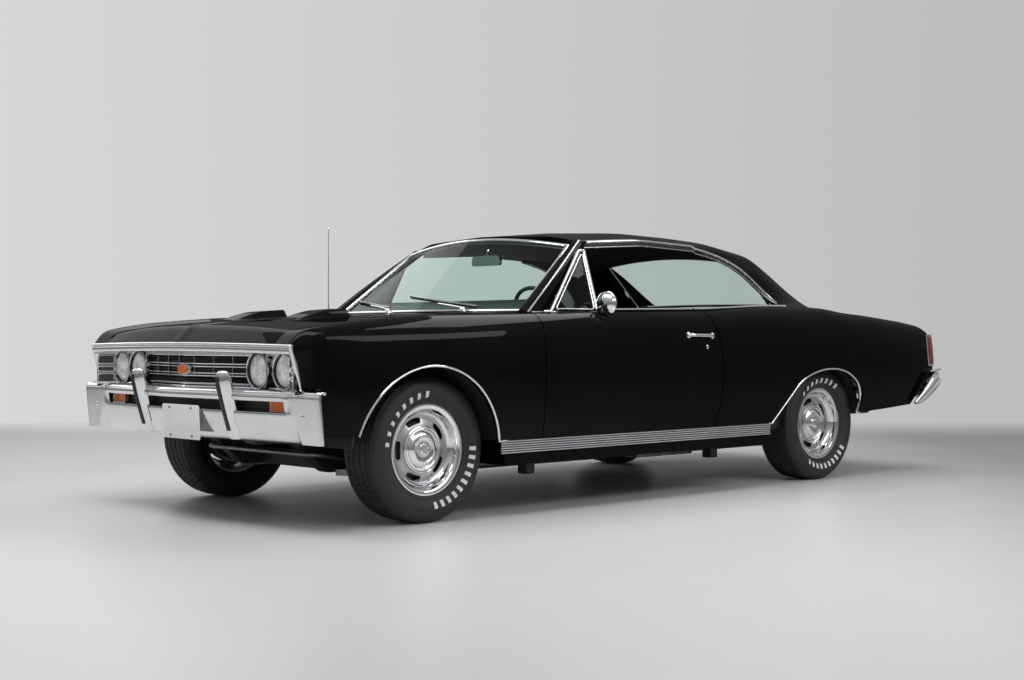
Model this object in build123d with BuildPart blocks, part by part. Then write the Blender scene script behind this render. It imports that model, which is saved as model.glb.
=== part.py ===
"""Two-door hardtop muscle car of the late 1960s: body, chassis, cabin, doors, lids and wheels.

Millimetres, +Z up.  The car stands on its tyres at Z = 0, its nose points to -Y, +X is the
driver's (left) side, and the origin is on the ground at the middle of its length and width.
"""
import os

from build123d import *

os.makedirs("parts", exist_ok=True)

# ---------------------------------------------------------------- driving dimensions
HALF_LENGTH = 2465        # nose guards and rear bumper both reach this far from the middle
WHEELBASE = 2921
FRONT_AXLE_Y = -1705
REAR_AXLE_Y = FRONT_AXLE_Y + WHEELBASE
HALF_TRACK = 744          # centre of the tread from the middle of the car

TYRE_R = 320
TYRE_W = 235
TREAD_W = 176
BEAD_R = 190              # tyre's inner radius, where it seats on the rim
RIM_W = 178
RIM_WALL = 11
FLANGE_R = 203
FLANGE_T = 6
SEAT_CLEAR = 0.5          # between tyre and rim
HUB_R = 30
HUB_CLEAR = 1
DISC_IN = 20              # wheel disc, measured outward from the tyre's centre plane
DISC_T = 20
SLOT_COUNT = 5
DRUM_R = 140
DRUM_T = 45
DRUM_IN = 695             # inner face of the brake drum from the middle of the car
KINGPIN_X = 665           # steering axis of each front wheel
KNUCKLE_T = 36
KNUCKLE_W = 60
KNUCKLE_BOTTOM = 225
KNUCKLE_TOP = 420

SKIN = 25                 # outer panels with what stiffens them
PANEL_GAP = 6             # between a lid or door and the panel beside it
PILLAR_GAP = 17           # behind the inner rear corner of a door, which swings back a little
SHUT_FACE_X = 900         # inboard of this the wider door gap holds
DOOR_INNER_X = 790        # flat inner face of doors and rear side walls
DOOR_FRONT_Y = -1085
DOOR_BOTTOM = 345
GLASS_T = 6
GLASS_CLEAR = 3
HOOD_HALF_W = 693
LID_GAP = 7               # between hood or trunk lid and the panels beside it
HOOD_REAR_Y = -1200
HOOD_T = 22
LID_HALF_W = 663
HOOD_SIDE_X = HOOD_HALF_W + LID_GAP
LID_SIDE_X = LID_HALF_W + LID_GAP
LID_FRONT_Y = 1585
LID_REAR_Y = 2305
LID_T = 24
NOSE_Y = -2418            # front face of the fenders and of the lamp surround
TAIL_Y = 2320             # rear face of the quarter panels
QUARTER_SPLIT_Y = 840     # ahead of this the rear side wall is as thick as a door
ROCKER_FRONT_Y = -1330
ROCKER_REAR_Y = 640
ROCKER_BOTTOM = 235
ARCH_FRONT = (-1735, 285, 402)   # y, z and radius of the front wheel opening
FLOOR_Z = 235
FLOOR_T = 15
FLOOR_HALF_W = 690
ROCKER_GAP = 10           # between floor pan and rocker
ROCKER_OUT = 925
WELL_CLEAR = 8            # wheel liner outside the opening, for the turned tyre
WELL_T = 8
TRUNK_FLOOR_Z = 515
JACK_PAD_Z = 152

# Body side by station: y, then x and z of sill edge, waist, shoulder, crest and inner top edge.
SIDE = (
    (-2418, (770, 345), (790, 600), (812, 720), (806, 776), (HOOD_SIDE_X, 775)),
    (-2368, (806, 345), (826, 603), (853, 758), (818, 831), (HOOD_SIDE_X, 824)),
    (-2270, (884, 345), (904, 618), (897, 800), (835, 857), (HOOD_SIDE_X, 848)),
    (-2124, (915, 345), (938, 638), (920, 815), (842, 879), (HOOD_SIDE_X, 866)),
    (-1705, (925, 345), (950, 660), (932, 830), (845, 911), (HOOD_SIDE_X, 897)),
    (-1089, (925, 345), (948, 660), (930, 850), (845, 926), (HOOD_SIDE_X, 915)),
    (-485, (925, 345), (947, 680), (930, 885), (842, 946), (710, 936)),
    (200, (925, 345), (947, 690), (930, 895), (845, 958), (712, 948)),
    (684, (925, 345), (950, 700), (935, 905), (850, 980), (705, 968)),
    (1216, (920, 360), (952, 700), (938, 900), (860, 975), (690, 965)),
    (1697, (915, 380), (948, 680), (932, 863), (860, 933), (LID_SIDE_X, 928)),
    (2023, (900, 400), (935, 660), (918, 828), (855, 905), (LID_SIDE_X, 899)),
    (2250, (880, 410), (915, 640), (900, 801), (850, 876), (LID_SIDE_X, 870)),
    (2320, (870, 420), (905, 630), (890, 783), (845, 841), (LID_SIDE_X, 848)),
)
SHOULDER_BULGE = 9        # how far the rounded shoulder stands outside its chord

# Hood and trunk lid by station: y, z at the side edge, z at the middle.
HOOD = ((-2442, 776, 786), (-2370, 830, 856), (-2270, 846, 869), (-2100, 866, 884), (-1705, 893, 911),
        (HOOD_REAR_Y, 908, 930))
LID = ((LID_FRONT_Y, 940, 972), (1850, 917, 950), (2100, 889, 920), (LID_REAR_Y, 852, 880))

# Roof by station: y, half width at the drip rail, z there, z at the middle.
ROOF = ((-660, 602, 1277, 1332), (-100, 645, 1311, 1382), (250, 652, 1300, 1380), (520, 646, 1289, 1366),
        (860, 640, 1248, 1298))
ROOF_T = 32

# Rear roof pillar by station: y, then x and z of its outer foot, outer bend, top, inner top, inner foot.
PILLAR = (
    (520, (800, 980), (695, 1205), (604, 1312), (560, 1290), (705, 980)),
    (860, (800, 984), (697, 1150), (598, 1264), (540, 1250), (660, 984)),
    (1020, (800, 984), (696, 1080), (594, 1190), (536, 1192), (610, 984)),
    (1130, (800, 982), (693, 1034), (594, 1132), (538, 1134), (575, 984)),
    (1230, (795, 977), (688, 1003), (595, 1076), (540, 1076), (560, 980)),
    (1330, (768, 970), (684, 985), (596, 1021), (542, 1020), (552, 966)),
    (1440, (728, 958), (676, 962), (597, 972), (544, 970), (550, 950)),
    (1575, (675, 935), (652, 936), (598, 942), (546, 942), (550, 925)),
)


def save(builder, name):
    """Label a finished piece and write it to its own STEP file."""
    builder.part.label = name
    export_step(builder.part, f"parts/{name}.step")


def side_at(y):
    """The body side's five section points at any station, read between the rows of SIDE."""
    for before, after in zip(SIDE, SIDE[1:]):
        if before[0] <= y <= after[0]:
            share = (y - before[0]) / (after[0] - before[0])
            return [
                (a[0] + share * (b[0] - a[0]), a[1] + share * (b[1] - a[1]))
                for a, b in zip(before[1:], after[1:])
            ]
    raise ValueError(f"no body side at y = {y}")


def stations(start, end):
    """Both ends of a panel and the rows of SIDE between them."""
    return [start] + [row[0] for row in SIDE if start < row[0] < end] + [end]


def section_plane(y):
    """Cross-section plane of the car: local x is +X, local y is +Z."""
    return Plane.XZ.offset(-y)


def bulge(shoulder, crest):
    """Point that makes the shoulder's arc, outside the middle of its chord."""
    return ((shoulder[0] + crest[0]) / 2 + SHOULDER_BULGE, (shoulder[1] + crest[1]) / 2 + SHOULDER_BULGE)


def skin_section(y):
    """One station of a panel of even thickness, from the sill edge over the crest to its inner edge."""
    low, waist, shoulder, crest, edge = side_at(y)
    inner_shoulder = (shoulder[0] - SKIN, shoulder[1] - SKIN / 3)
    inner_crest = (crest[0] - SKIN / 3, crest[1] - SKIN)
    inner_low = (low[0] - SKIN, low[1])
    with BuildSketch(section_plane(y)) as section:
        with BuildLine():
            ThreePointArc(low, waist, shoulder)
            ThreePointArc(shoulder, bulge(shoulder, crest), crest)
            Polyline(crest, edge, (edge[0], edge[1] - SKIN), inner_crest)
            ThreePointArc(inner_crest, bulge(inner_shoulder, inner_crest), inner_shoulder)
            ThreePointArc(inner_shoulder, (waist[0] - SKIN, waist[1]), inner_low)
            Line(inner_low, low)
        make_face()
    return section.sketch


def wall_section(y):
    """One station of a door or rear side wall, closed by a flat inner face."""
    low, waist, shoulder, crest, edge = side_at(y)
    with BuildSketch(section_plane(y)) as section:
        with BuildLine():
            ThreePointArc(low, waist, shoulder)
            ThreePointArc(shoulder, bulge(shoulder, crest), crest)
            Polyline(crest, (DOOR_INNER_X, crest[1] - 5), (DOOR_INNER_X, low[1]), low)
        make_face()
    return section.sketch


def crowned_section(y, half_width, z_side, z_middle, thickness):
    """One station of a lid or roof: an arc across the car with its thickness below it."""
    with BuildSketch(section_plane(y)) as section:
        with BuildLine():
            ThreePointArc((-half_width, z_side), (0, z_middle), (half_width, z_side))
            Line((half_width, z_side), (half_width, z_side - thickness))
            ThreePointArc(
                (half_width, z_side - thickness), (0, z_middle - thickness), (-half_width, z_side - thickness)
            )
            Line((-half_width, z_side - thickness), (-half_width, z_side))
        make_face()
    return section.sketch


def outline(plane, points):
    """A straight-sided face."""
    with BuildSketch(plane) as sketch:
        with BuildLine():
            Polyline(*points, close=True)
        make_face()
    return sketch.sketch


def side_block(points, x_from, x_to, mode=Mode.ADD):
    """A block across the car from its outline in side view, given as y and z."""
    extrude(outline(Plane.YZ.offset(x_from), points), amount=x_to - x_from, mode=mode)


def box_between(low, high, mode=Mode.ADD):
    """A block from its lowest to its highest corner."""
    corners = ((low[0], low[1]), (high[0], low[1]), (high[0], high[1]), (low[0], high[1]))
    extrude(outline(Plane.XY.offset(low[2]), corners), amount=high[2] - low[2], mode=mode)


def side_sheet(line, half_width, thickness):
    """A bent sheet right across the car; line is its lower, forward face in side view, as y and z."""
    with BuildSketch(Plane.YZ.offset(-half_width)) as sketch:
        with BuildLine():
            Polyline(*line)
            offset(amount=thickness, side=Side.LEFT)
        make_face()
    extrude(sketch.sketch, amount=2 * half_width)


def door_edge_region(gap, x_from, x_to, reach, mode):
    """Cut from the door's curved rear edge, moved back by gap, as far as reach in y."""
    top, middle, bottom = (75 + gap, 1000), (195 + gap, 744), (132 + gap, 300)
    with BuildSketch(Plane.YZ.offset(x_from)) as sketch:
        with BuildLine():
            ThreePointArc(top, middle, bottom)
            Polyline(bottom, (reach, bottom[1]), (reach, top[1]), top)
        make_face()
    extrude(sketch.sketch, amount=x_to - x_from, mode=mode)


def disc(centre, axis, radius, length, mode=Mode.ADD):
    """A round bar that starts at centre and runs along axis."""
    with BuildSketch(Plane(origin=centre, z_dir=axis)) as sketch:
        Circle(radius)
    extrude(sketch.sketch, amount=length, mode=mode)


def bar(start, end, radius):
    """A round bar between two points."""
    run = Vector(*end) - Vector(*start)
    disc(start, run.normalized(), radius, run.length)


def bumper_plan(z, middle_y, side_y, side_x, end_y, end_x, depth):
    """A bumper's plan at one height: bowed across the car, turned in at its corners, with open ends."""
    rearward = 1 if end_y > middle_y else -1
    corner_y = side_y + rearward * 25
    corner_x = end_x - 22
    inner = rearward * depth
    with BuildSketch(Plane.XY.offset(z)) as sketch:
        with BuildLine():
            ThreePointArc((-side_x, side_y), (0, middle_y), (side_x, side_y))
            Polyline((side_x, side_y), (corner_x, corner_y), (end_x, end_y), (end_x - depth, end_y),
                     (corner_x - depth, corner_y + inner / 2), (side_x, side_y + inner))
            ThreePointArc((side_x, side_y + inner), (0, middle_y + inner), (-side_x, side_y + inner))
            Polyline((-side_x, side_y + inner), (depth - corner_x, corner_y + inner / 2), (depth - end_x, end_y),
                     (-end_x, end_y), (-corner_x, corner_y), (-side_x, side_y))
        make_face()
    return sketch.sketch


# ---------------------------------------------------------------- body sides
with BuildPart() as fender_left:
    loft([skin_section(y) for y in stations(NOSE_Y, DOOR_FRONT_Y - PANEL_GAP)], ruled=True)
    disc((600, *ARCH_FRONT[:2]), (1, 0, 0), ARCH_FRONT[2], 400, Mode.SUBTRACT)
    box_between((600, -2500, 300), (1000, -2330, 603), Mode.SUBTRACT)
    box_between((600, -2500, 300), (1000, -2100, 400), Mode.SUBTRACT)

with BuildPart() as quarter_left:
    loft([skin_section(y) for y in stations(QUARTER_SPLIT_Y, TAIL_Y)], ruled=True)
    loft([wall_section(y) for y in stations(60, QUARTER_SPLIT_Y)], ruled=True)
    door_edge_region(PANEL_GAP, 600, 1000, -1300, Mode.SUBTRACT)
    door_edge_region(PILLAR_GAP, 600, SHUT_FACE_X, -1300, Mode.SUBTRACT)
    with BuildSketch(Plane.YZ.offset(600)) as arch:
        with BuildLine():
            Polyline((1460, 300), (600, 300), (900, 574))
            ThreePointArc((900, 574), (1190, 632), (1440, 560))
            ThreePointArc((1440, 560), (1488, 450), (1460, 300))
        make_face()
    extrude(arch.sketch, amount=400, mode=Mode.SUBTRACT)
    side_block(((2298, 603), (2090, 405), (2090, 300), (2500, 300), (2500, 603)), 600, 1000, Mode.SUBTRACT)

with BuildPart() as door_shell:
    loft([wall_section(y) for y in stations(DOOR_FRONT_Y, 210)], ruled=True)
    door_edge_region(0, 600, 1000, 500, Mode.SUBTRACT)
    # vent window at the front of the opening
    glass_plane = Plane(origin=(818, 0, 950), x_dir=(0, 1, 0), z_dir=(0.905, 0, 0.425))
    extrude(outline(glass_plane, ((-950, -30), (-621, -30), (-560, 300), (-600, 300))), amount=8, both=True)
    # pull handle
    box_between((930, -85, 808), (958, 125, 828))

with BuildPart() as door_left:
    add(door_shell.part)
    # round mirror on its stalk
    bar((850, -679, 890), (890, -625, 975), 9)
    disc((890, -638, 985), (0, 1, 0), 58, 30)

for name, left in (("fender", fender_left), ("quarter", quarter_left), ("door", door_left)):
    save(left, name + "_left")

with BuildPart() as fender_right:
    mirror(fender_left.part, about=Plane.YZ)
save(fender_right, "fender_right")

with BuildPart() as quarter_right:
    mirror(quarter_left.part, about=Plane.YZ)
save(quarter_right, "quarter_right")

with BuildPart() as door_right:
    mirror(door_shell.part, about=Plane.YZ)
save(door_right, "door_right")

with BuildPart() as rockers:
    for inner, outer in ((FLOOR_HALF_W + ROCKER_GAP, ROCKER_OUT), (-ROCKER_OUT, -FLOOR_HALF_W - ROCKER_GAP)):
        box_between((inner, ROCKER_FRONT_Y, ROCKER_BOTTOM), (outer, ROCKER_REAR_Y, DOOR_BOTTOM - 8))
save(rockers, "rockers")

# ---------------------------------------------------------------- hood, trunk lid, cowl, roof
with BuildPart() as hood:
    loft([crowned_section(y, HOOD_HALF_W, z_side, z_mid, HOOD_T) for y, z_side, z_mid in HOOD], ruled=True)
    with BuildSketch(Plane.XY.offset(700)) as ahead:
        with BuildLine():
            ThreePointArc((-750, -2412), (0, -2441), (750, -2412))
            Polyline((750, -2412), (750, -2500), (-750, -2500), (-750, -2412))
        make_face()
    extrude(ahead.sketch, amount=200, mode=Mode.SUBTRACT)
    for x in (165, -325):
        side_block(((-2080, 870), (-1850, 930), (-1750, 938), (-1750, 885), (-2080, 860)), x, x + 160)
save(hood, "hood")

with BuildPart() as trunk_lid:
    loft([crowned_section(y, LID_HALF_W, z_side, z_mid, LID_T) for y, z_side, z_mid in LID], ruled=True)
save(trunk_lid, "trunk_lid")

with BuildPart() as cowl:
    box_between((-HOOD_HALF_W, HOOD_REAR_Y + 7, 900), (HOOD_HALF_W, -985, 925))
    for inner, outer in ((HOOD_HALF_W - 33, 775), (-775, 33 - HOOD_HALF_W)):
        box_between((inner, DOOR_FRONT_Y, DOOR_BOTTOM - 8), (outer, -985, 925))
save(cowl, "cowl")

with BuildPart() as roof:
    loft([crowned_section(y, half, z_side, z_mid, ROOF_T) for y, half, z_side, z_mid in ROOF], ruled=True)
    # the front edge bows forward over the windshield
    with BuildSketch(Plane.XY.offset(1200)) as header:
        with BuildLine():
            ThreePointArc((-660, -530), (0, -628), (660, -530))
            Polyline((660, -530), (660, -700), (-660, -700), (-660, -530))
        make_face()
    extrude(header.sketch, amount=200, mode=Mode.SUBTRACT)
    for side in (1, -1):
        faces = []
        for row in PILLAR:
            faces.append(outline(section_plane(row[0]), [(side * x, z) for x, z in row[1:]]))
        loft(faces, ruled=True)
        foot = outline(Plane.XY.offset(927), [(side * x, y) for x, y in ((705, -1060), (772, -1050), (772, -990), (705, -1000))])
        head = outline(Plane.XY.offset(1280), [(side * x, y) for x, y in ((575, -560), (630, -552), (634, -490), (580, -495))])
        loft([foot, head])
    box_between((-565, 1172, 948), (565, 1575, 972))
    # rear side windows
    with BuildSketch(Plane.YZ.offset(-900)) as window:
        with BuildLine():
            Polyline((885, 1000), (900, 900), (300, 900), (300, 1262))
            ThreePointArc((300, 1262), (610, 1195), (885, 1000))
        make_face()
    extrude(window.sketch, amount=1800, mode=Mode.SUBTRACT)
    add(quarter_left.part, mode=Mode.SUBTRACT)
    add(quarter_right.part, mode=Mode.SUBTRACT)
save(roof, "roof")

# ---------------------------------------------------------------- glass
with BuildPart() as windshield:
    crescents = []
    for z, half, y_side, y_middle in ((930, 668, -1020, -1150), (1318, 556, -529, -656)):
        with BuildSketch(Plane.XY.offset(z)) as crescent:
            with BuildLine():
                ThreePointArc((-half, y_side), (0, y_middle), (half, y_side))
                Line((half, y_side), (half, y_side + 9))
                ThreePointArc((half, y_side + 9), (0, y_middle + 9), (-half, y_side + 9))
                Line((-half, y_side + 9), (-half, y_side))
            make_face()
        crescents.append(crescent.sketch)
    loft(crescents)
    # its top edge follows the crown of the roof
    with BuildSketch(section_plane(-400)) as above:
        with BuildLine():
            ThreePointArc((-640, 1268), (0, 1318), (640, 1268))
            Polyline((640, 1268), (640, 1400), (-640, 1400), (-640, 1268))
        make_face()
    extrude(above.sketch, amount=400, mode=Mode.SUBTRACT)
save(windshield, "windshield")

with BuildPart() as rear_glass:
    side_block(((872, 1262), (880, 1262), (1178, 990), (1170, 990)), -505, 505)
save(rear_glass, "rear_glass")

# ---------------------------------------------------------------- nose and tail
with BuildPart() as grille_surround:
    side_block(((NOSE_Y, 748), (-2370, 587), (-2310, 587), (-2310, 748)), -758, 758)
    for x in (30, -750):
        box_between((x, NOSE_Y, 592), (x + 720, -2310, 741), Mode.SUBTRACT)
save(grille_surround, "grille_surround")

with BuildPart() as grille:
    for x in (34, -414):
        box_between((x, -2328, 594), (x + 380, -2316, 741))
        for row in range(4):
            z = 612 + row * 34
            box_between((x, -2346, z), (x + 380, -2328, z + 9))
        for column in range(5):
            box_between((x + 20 + column * 82, -2340, 594), (x + 25 + column * 82, -2328, 741))
save(grille, "grille")

with BuildPart() as headlamps:
    for x in (-670, -495, 495, 670):
        disc((x, -2290, 668), (0, -1, 0), 73, 52)
save(headlamps, "headlamps")

with BuildPart() as radiator_support:
    box_between((-600, -2270, 385), (600, -2225, 730))
    for x in (305, -365):
        box_between((x, -2270, 346), (x + 60, -2225, 385))
save(radiator_support, "radiator_support")

with BuildPart() as bumper_front:
    loft([bumper_plan(585, -2428, -2394, 780, -2345, 960, 26), bumper_plan(385, -2374, -2372, 780, -2330, 950, 26)])
    box_between((-735, -2500, 492), (735, -2300, 545), Mode.SUBTRACT)
    guard = ((-HALF_LENGTH, 640), (-2455, 668), (-2434, 664), (-2412, 590), (-2356, 372), (-2390, 372),
             (-HALF_LENGTH, 600))
    for x in (310, -400):
        side_block(guard, x, x + 90)
save(bumper_front, "bumper_front")

with BuildPart() as parking_lamps:
    for x in (595, -720):
        box_between((x, -2392, 494), (x + 125, -2362, 543))
save(parking_lamps, "parking_lamps")

with BuildPart() as bumper_rear:
    extrude(bumper_plan(430, HALF_LENGTH, 2420, 780, 2110, 925, 28), amount=170)
    side_block(((2304, 640), (2304, 597), (2106, 411), (2000, 411), (2000, 640)), -1000, 1000, Mode.SUBTRACT)
    for x in (810, -1010):
        side_block(((2400, 550), (2165, 408), (2100, 300), (2400, 300)), x, x + 200, Mode.SUBTRACT)
save(bumper_rear, "bumper_rear")

with BuildPart() as tail_panel:
    box_between((-830, 2290, 604), (830, 2316, 770))
    box_between((3 - LID_HALF_W, 2290, 770), (LID_HALF_W - 3, 2316, 820))
save(tail_panel, "tail_panel")

with BuildPart() as tail_lamps:
    for x in (430, -895):
        box_between((x, 2322, 640), (x + 465, 2340, 820))
save(tail_lamps, "tail_lamps")

# ---------------------------------------------------------------- cabin
with BuildPart() as floor_pan:
    side_sheet(
        ((-1180, 900), (-1180, 415), (-1018, FLOOR_Z), (706, FLOOR_Z), (766, 325), (925, 325), (940, 500)),
        FLOOR_HALF_W, FLOOR_T)
    box_between((-155, -1160, FLOOR_Z), (155, 938, 415))
    box_between((-140, -1200, FLOOR_Z - 20), (140, 1100, 400), Mode.SUBTRACT)
    for x in (590, -890):
        box_between((x, 850, 200), (x + 300, 1100, 600), Mode.SUBTRACT)
save(floor_pan, "floor_pan")

with BuildPart() as dashboard:
    side_block(((-980, 900), (-770, 905), (-740, 800), (-800, 665), (-980, 700)), -750, 750)
    bar((380, -826, 731), (380, -570, 878), 26)
save(dashboard, "dashboard")

with BuildPart() as steering_wheel:
    wheel_plane = Plane(origin=(380, -540, 896), x_dir=(1, 0, 0), z_dir=(0, 0.866, 0.5))
    with Locations(wheel_plane):
        Torus(190, 12)
    with BuildSketch(wheel_plane.offset(-16)):
        Circle(48)
        with PolarLocations(0, 3, start_angle=90):
            with Locations((110, 0)):
                Rectangle(140, 26)
    extrude(amount=16)
save(steering_wheel, "steering_wheel")

with BuildPart() as front_seats:
    seat_side = ((-540, 251), (-560, 450), (-90, 410), (70, 930), (165, 930), (70, 300), (50, 251))
    for x in (170, -660):
        side_block(seat_side, x, x + 490)
save(front_seats, "front_seats")

with BuildPart() as rear_seat:
    side_block(((450, 252), (430, 470), (815, 430), (885, 900), (985, 900), (985, 520), (905, 520),
                (905, 343), (757, 343), (697, 252)), -590, 590)
    box_between((-160, 400, 240), (160, 1100, 420), Mode.SUBTRACT)
save(rear_seat, "rear_seat")

with BuildPart() as trunk_floor:
    box_between((-560, 1023, 500), (560, 1038, 945))
    box_between((-560, 1023, 930), (560, 1163, 945))
    box_between((-860, 944, 500), (860, 2284, TRUNK_FLOOR_Z))
    for x in (600, -868):
        disc((x, REAR_AXLE_Y, TYRE_R), (1, 0, 0), 362, 268)
    for x in (612, -868):
        disc((x, REAR_AXLE_Y, TYRE_R), (1, 0, 0), 350, 256, Mode.SUBTRACT)
    for x in (590, -880):
        box_between((x, 800, -50), (x + 290, 1600, 365), Mode.SUBTRACT)
save(trunk_floor, "trunk_floor")

# ---------------------------------------------------------------- chassis and running gear
with BuildPart() as frame:
    for side in (1, -1):
        rail = ((300, -1440), (370, -1440), (655, -1080), (655, 620), (500, 860), (430, 860), (585, 600),
                (585, -1050), (300, -1400))
        extrude(outline(Plane.XY.offset(160), [(side * x, y) for x, y in rail]), amount=74)
        side_block(((-2300, 345), (-2300, 275), (-2050, 262), (-1900, 200), (-1400, 200), (-1400, 300),
                    (-1850, 300), (-2000, 345)), min(side * 300, side * 370), max(side * 300, side * 370))
        x_from = 430 if side > 0 else -500
        side_block(((810, 160), (985, 160), (1090, 420), (1500, 420), (1620, 330), (2260, 330), (2260, 420),
                    (1640, 420), (1520, 498), (1045, 498), (945, 234), (790, 234)), x_from, x_from + 70)
    box_between((-370, -1800, 200), (370, -1610, 280))
    box_between((-600, -530, 206), (600, -450, 234))
    box_between((-500, 1620, 340), (500, 1680, 415))
    box_between((-500, 2210, 340), (500, 2260, 415))
    disc((-420, -2030, 255), (1, 0, 0), 12, 840)
    # jacking pads under the side rails
    for x in (-620, 620):
        for y in (-900, 500):
            box_between((x - 30, y - 30, JACK_PAD_Z), (x + 30, y + 30, 162))
save(frame, "frame")

with BuildPart() as inner_fenders:
    arch_y, arch_z, arch_r = ARCH_FRONT
    inside = arch_r + WELL_CLEAR
    for x in (436, -870):
        disc((x, arch_y, arch_z), (1, 0, 0), inside + WELL_T, 434)
    for x in (442, -870):
        disc((x, arch_y, arch_z), (1, 0, 0), inside, 428, Mode.SUBTRACT)
    box_between((-900, -2200, -200), (900, -1300, DOOR_BOTTOM), Mode.SUBTRACT)
    box_between((-470, -2090, 200), (470, -1380, 470), Mode.SUBTRACT)
save(inner_fenders, "inner_fenders")

with BuildPart() as engine:
    box_between((-270, -1950, 320), (270, -1255, 800))
save(engine, "engine")

with BuildPart() as driveline:
    box_between((-100, -1250, 245), (100, -600, 385))
    disc((0, -610, 312), (0, 1, 0), 38, 1704)
save(driveline, "driveline")

with BuildPart() as exhaust:
    for x in (250, -250):
        disc((x, -1240, 175), (0, 1, 0), 25, 3570)
        box_between((x - 60, 250, 145), (x + 60, 720, 205))
        box_between((x - 15, -500, 180), (x + 15, -480, 206))
        box_between((x - 15, 1640, 180), (x + 15, 1660, 340))
save(exhaust, "exhaust")

with BuildPart() as fuel_tank:
    box_between((-380, 1725, 300), (380, 2180, 499))
save(fuel_tank, "fuel_tank")

with BuildPart() as front_suspension:
    for side in (1, -1):
        lower = ((372, -1855), (372, -1555), (600, -1672), (675, -1687), (675, -1723), (600, -1738))
        upper = ((398, -1800), (398, -1610), (600, -1675), (675, -1687), (675, -1723), (600, -1735))
        extrude(outline(Plane.XY.offset(186), [(side * x, y) for x, y in lower]), amount=28)
        extrude(outline(Plane.XY.offset(431), [(side * x, y) for x, y in upper]), amount=21)
        disc((side * 440, FRONT_AXLE_Y, 200), (0, 0, 1), 42, 240)
save(front_suspension, "front_suspension")

with BuildPart() as rear_axle:
    disc((-HALF_TRACK + 20, REAR_AXLE_Y, TYRE_R), (1, 0, 0), 38, 2 * HALF_TRACK - 40)
    disc((-HALF_TRACK - DISC_IN - DISC_T, REAR_AXLE_Y, TYRE_R), (1, 0, 0), HUB_R,
         2 * (HALF_TRACK + DISC_IN + DISC_T))
    disc((-125, REAR_AXLE_Y, TYRE_R), (1, 0, 0), 118, 250)
    for x in (DRUM_IN - 25, -DRUM_IN - 20):
        disc((x, REAR_AXLE_Y, TYRE_R), (1, 0, 0), DRUM_R, DRUM_T)
    for side in (1, -1):
        disc((side * 370, REAR_AXLE_Y, 340), (0, 0, 1), 48, 158)
        bar((side * 545, 1210, 280), (side * 530, 815, 255), 18)
save(rear_axle, "rear_axle")

WHEELS = (
    ("front_left", 1, FRONT_AXLE_Y),
    ("front_right", -1, FRONT_AXLE_Y),
    ("rear_left", 1, REAR_AXLE_Y),
    ("rear_right", -1, REAR_AXLE_Y),
)
for place, side, axle_y in WHEELS:
    centre = (side * HALF_TRACK, axle_y, TYRE_R)
    axle = Axis(centre, (1, 0, 0))
    profile_plane = Plane(origin=centre, x_dir=(side, 0, 0), z_dir=(0, 0, 1))
    tread, wall, bead = TREAD_W / 2, TYRE_W / 2, RIM_W / 2 - 5
    with BuildPart() as tyre:
        with BuildSketch(profile_plane):
            with BuildLine():
                ThreePointArc((-tread, TYRE_R - 3), (0, TYRE_R), (tread, TYRE_R - 3))
                ThreePointArc((tread, TYRE_R - 3), (wall - 7, TYRE_R - 22), (wall, TYRE_R - 62))
                ThreePointArc((wall, TYRE_R - 62), (wall - 6, BEAD_R + 36), (bead + 5, FLANGE_R + 3))
                Polyline((bead + 5, FLANGE_R + 3), (bead, BEAD_R), (-bead, BEAD_R), (-bead - 5, FLANGE_R + 3))
                ThreePointArc((-bead - 5, FLANGE_R + 3), (6 - wall, BEAD_R + 36), (-wall, TYRE_R - 62))
                ThreePointArc((-wall, TYRE_R - 62), (7 - wall, TYRE_R - 22), (-tread, TYRE_R - 3))
            make_face()
        revolve(axis=axle)
    save(tyre, "tyre_" + place)

    seat = BEAD_R - SEAT_CLEAR
    bore = seat - RIM_WALL
    flange_in = RIM_W / 2 + 0.5
    flange_out = flange_in + FLANGE_T
    disc_out = DISC_IN + DISC_T
    with BuildPart() as rim:
        with BuildSketch(profile_plane):
            with BuildLine():
                Polyline(
                    (-flange_out, FLANGE_R), (-flange_in, FLANGE_R), (-flange_in, seat), (flange_in, seat),
                    (flange_in, FLANGE_R), (flange_out, FLANGE_R), (flange_out, bore), (disc_out, bore),
                    (disc_out - 12, 0.65 * bore), (disc_out, 65), (disc_out, HUB_R + HUB_CLEAR),
                    (DISC_IN, HUB_R + HUB_CLEAR), (DISC_IN, 65), (DISC_IN - 12, 0.65 * bore), (DISC_IN, bore),
                    (-flange_out, bore), close=True)
            make_face()
        revolve(axis=axle)
        with BuildSketch(Plane(origin=centre, z_dir=(side, 0, 0))):
            with PolarLocations(125, SLOT_COUNT):
                SlotCenterToCenter(34, 38, rotation=90)
        extrude(amount=60, mode=Mode.SUBTRACT)
    save(rim, "rim_" + place)

for name, side in (("knuckle_left", 1), ("knuckle_right", -1)):
    with BuildPart() as knuckle:
        near = side * KINGPIN_X
        box_between((near - KNUCKLE_T / 2, FRONT_AXLE_Y - KNUCKLE_W / 2, KNUCKLE_BOTTOM),
                    (near + KNUCKLE_T / 2, FRONT_AXLE_Y + KNUCKLE_W / 2, KNUCKLE_TOP))
        disc((near, FRONT_AXLE_Y, TYRE_R), (side, 0, 0), HUB_R, HALF_TRACK + DISC_IN + DISC_T - KINGPIN_X)
        disc((side * DRUM_IN, FRONT_AXLE_Y, TYRE_R), (side, 0, 0), DRUM_R, DRUM_T)
    save(knuckle, name)
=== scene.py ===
"""Dresses a packed two-door hardtop muscle car: paint, brightwork, glass, wheels, cabin and stage.

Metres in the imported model's own frame: nose towards -Y, +X the driver's side, ground at Z = 0.
"""
import math

import bmesh
import bpy
import numpy as np
from mathutils import Matrix, Vector


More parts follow.
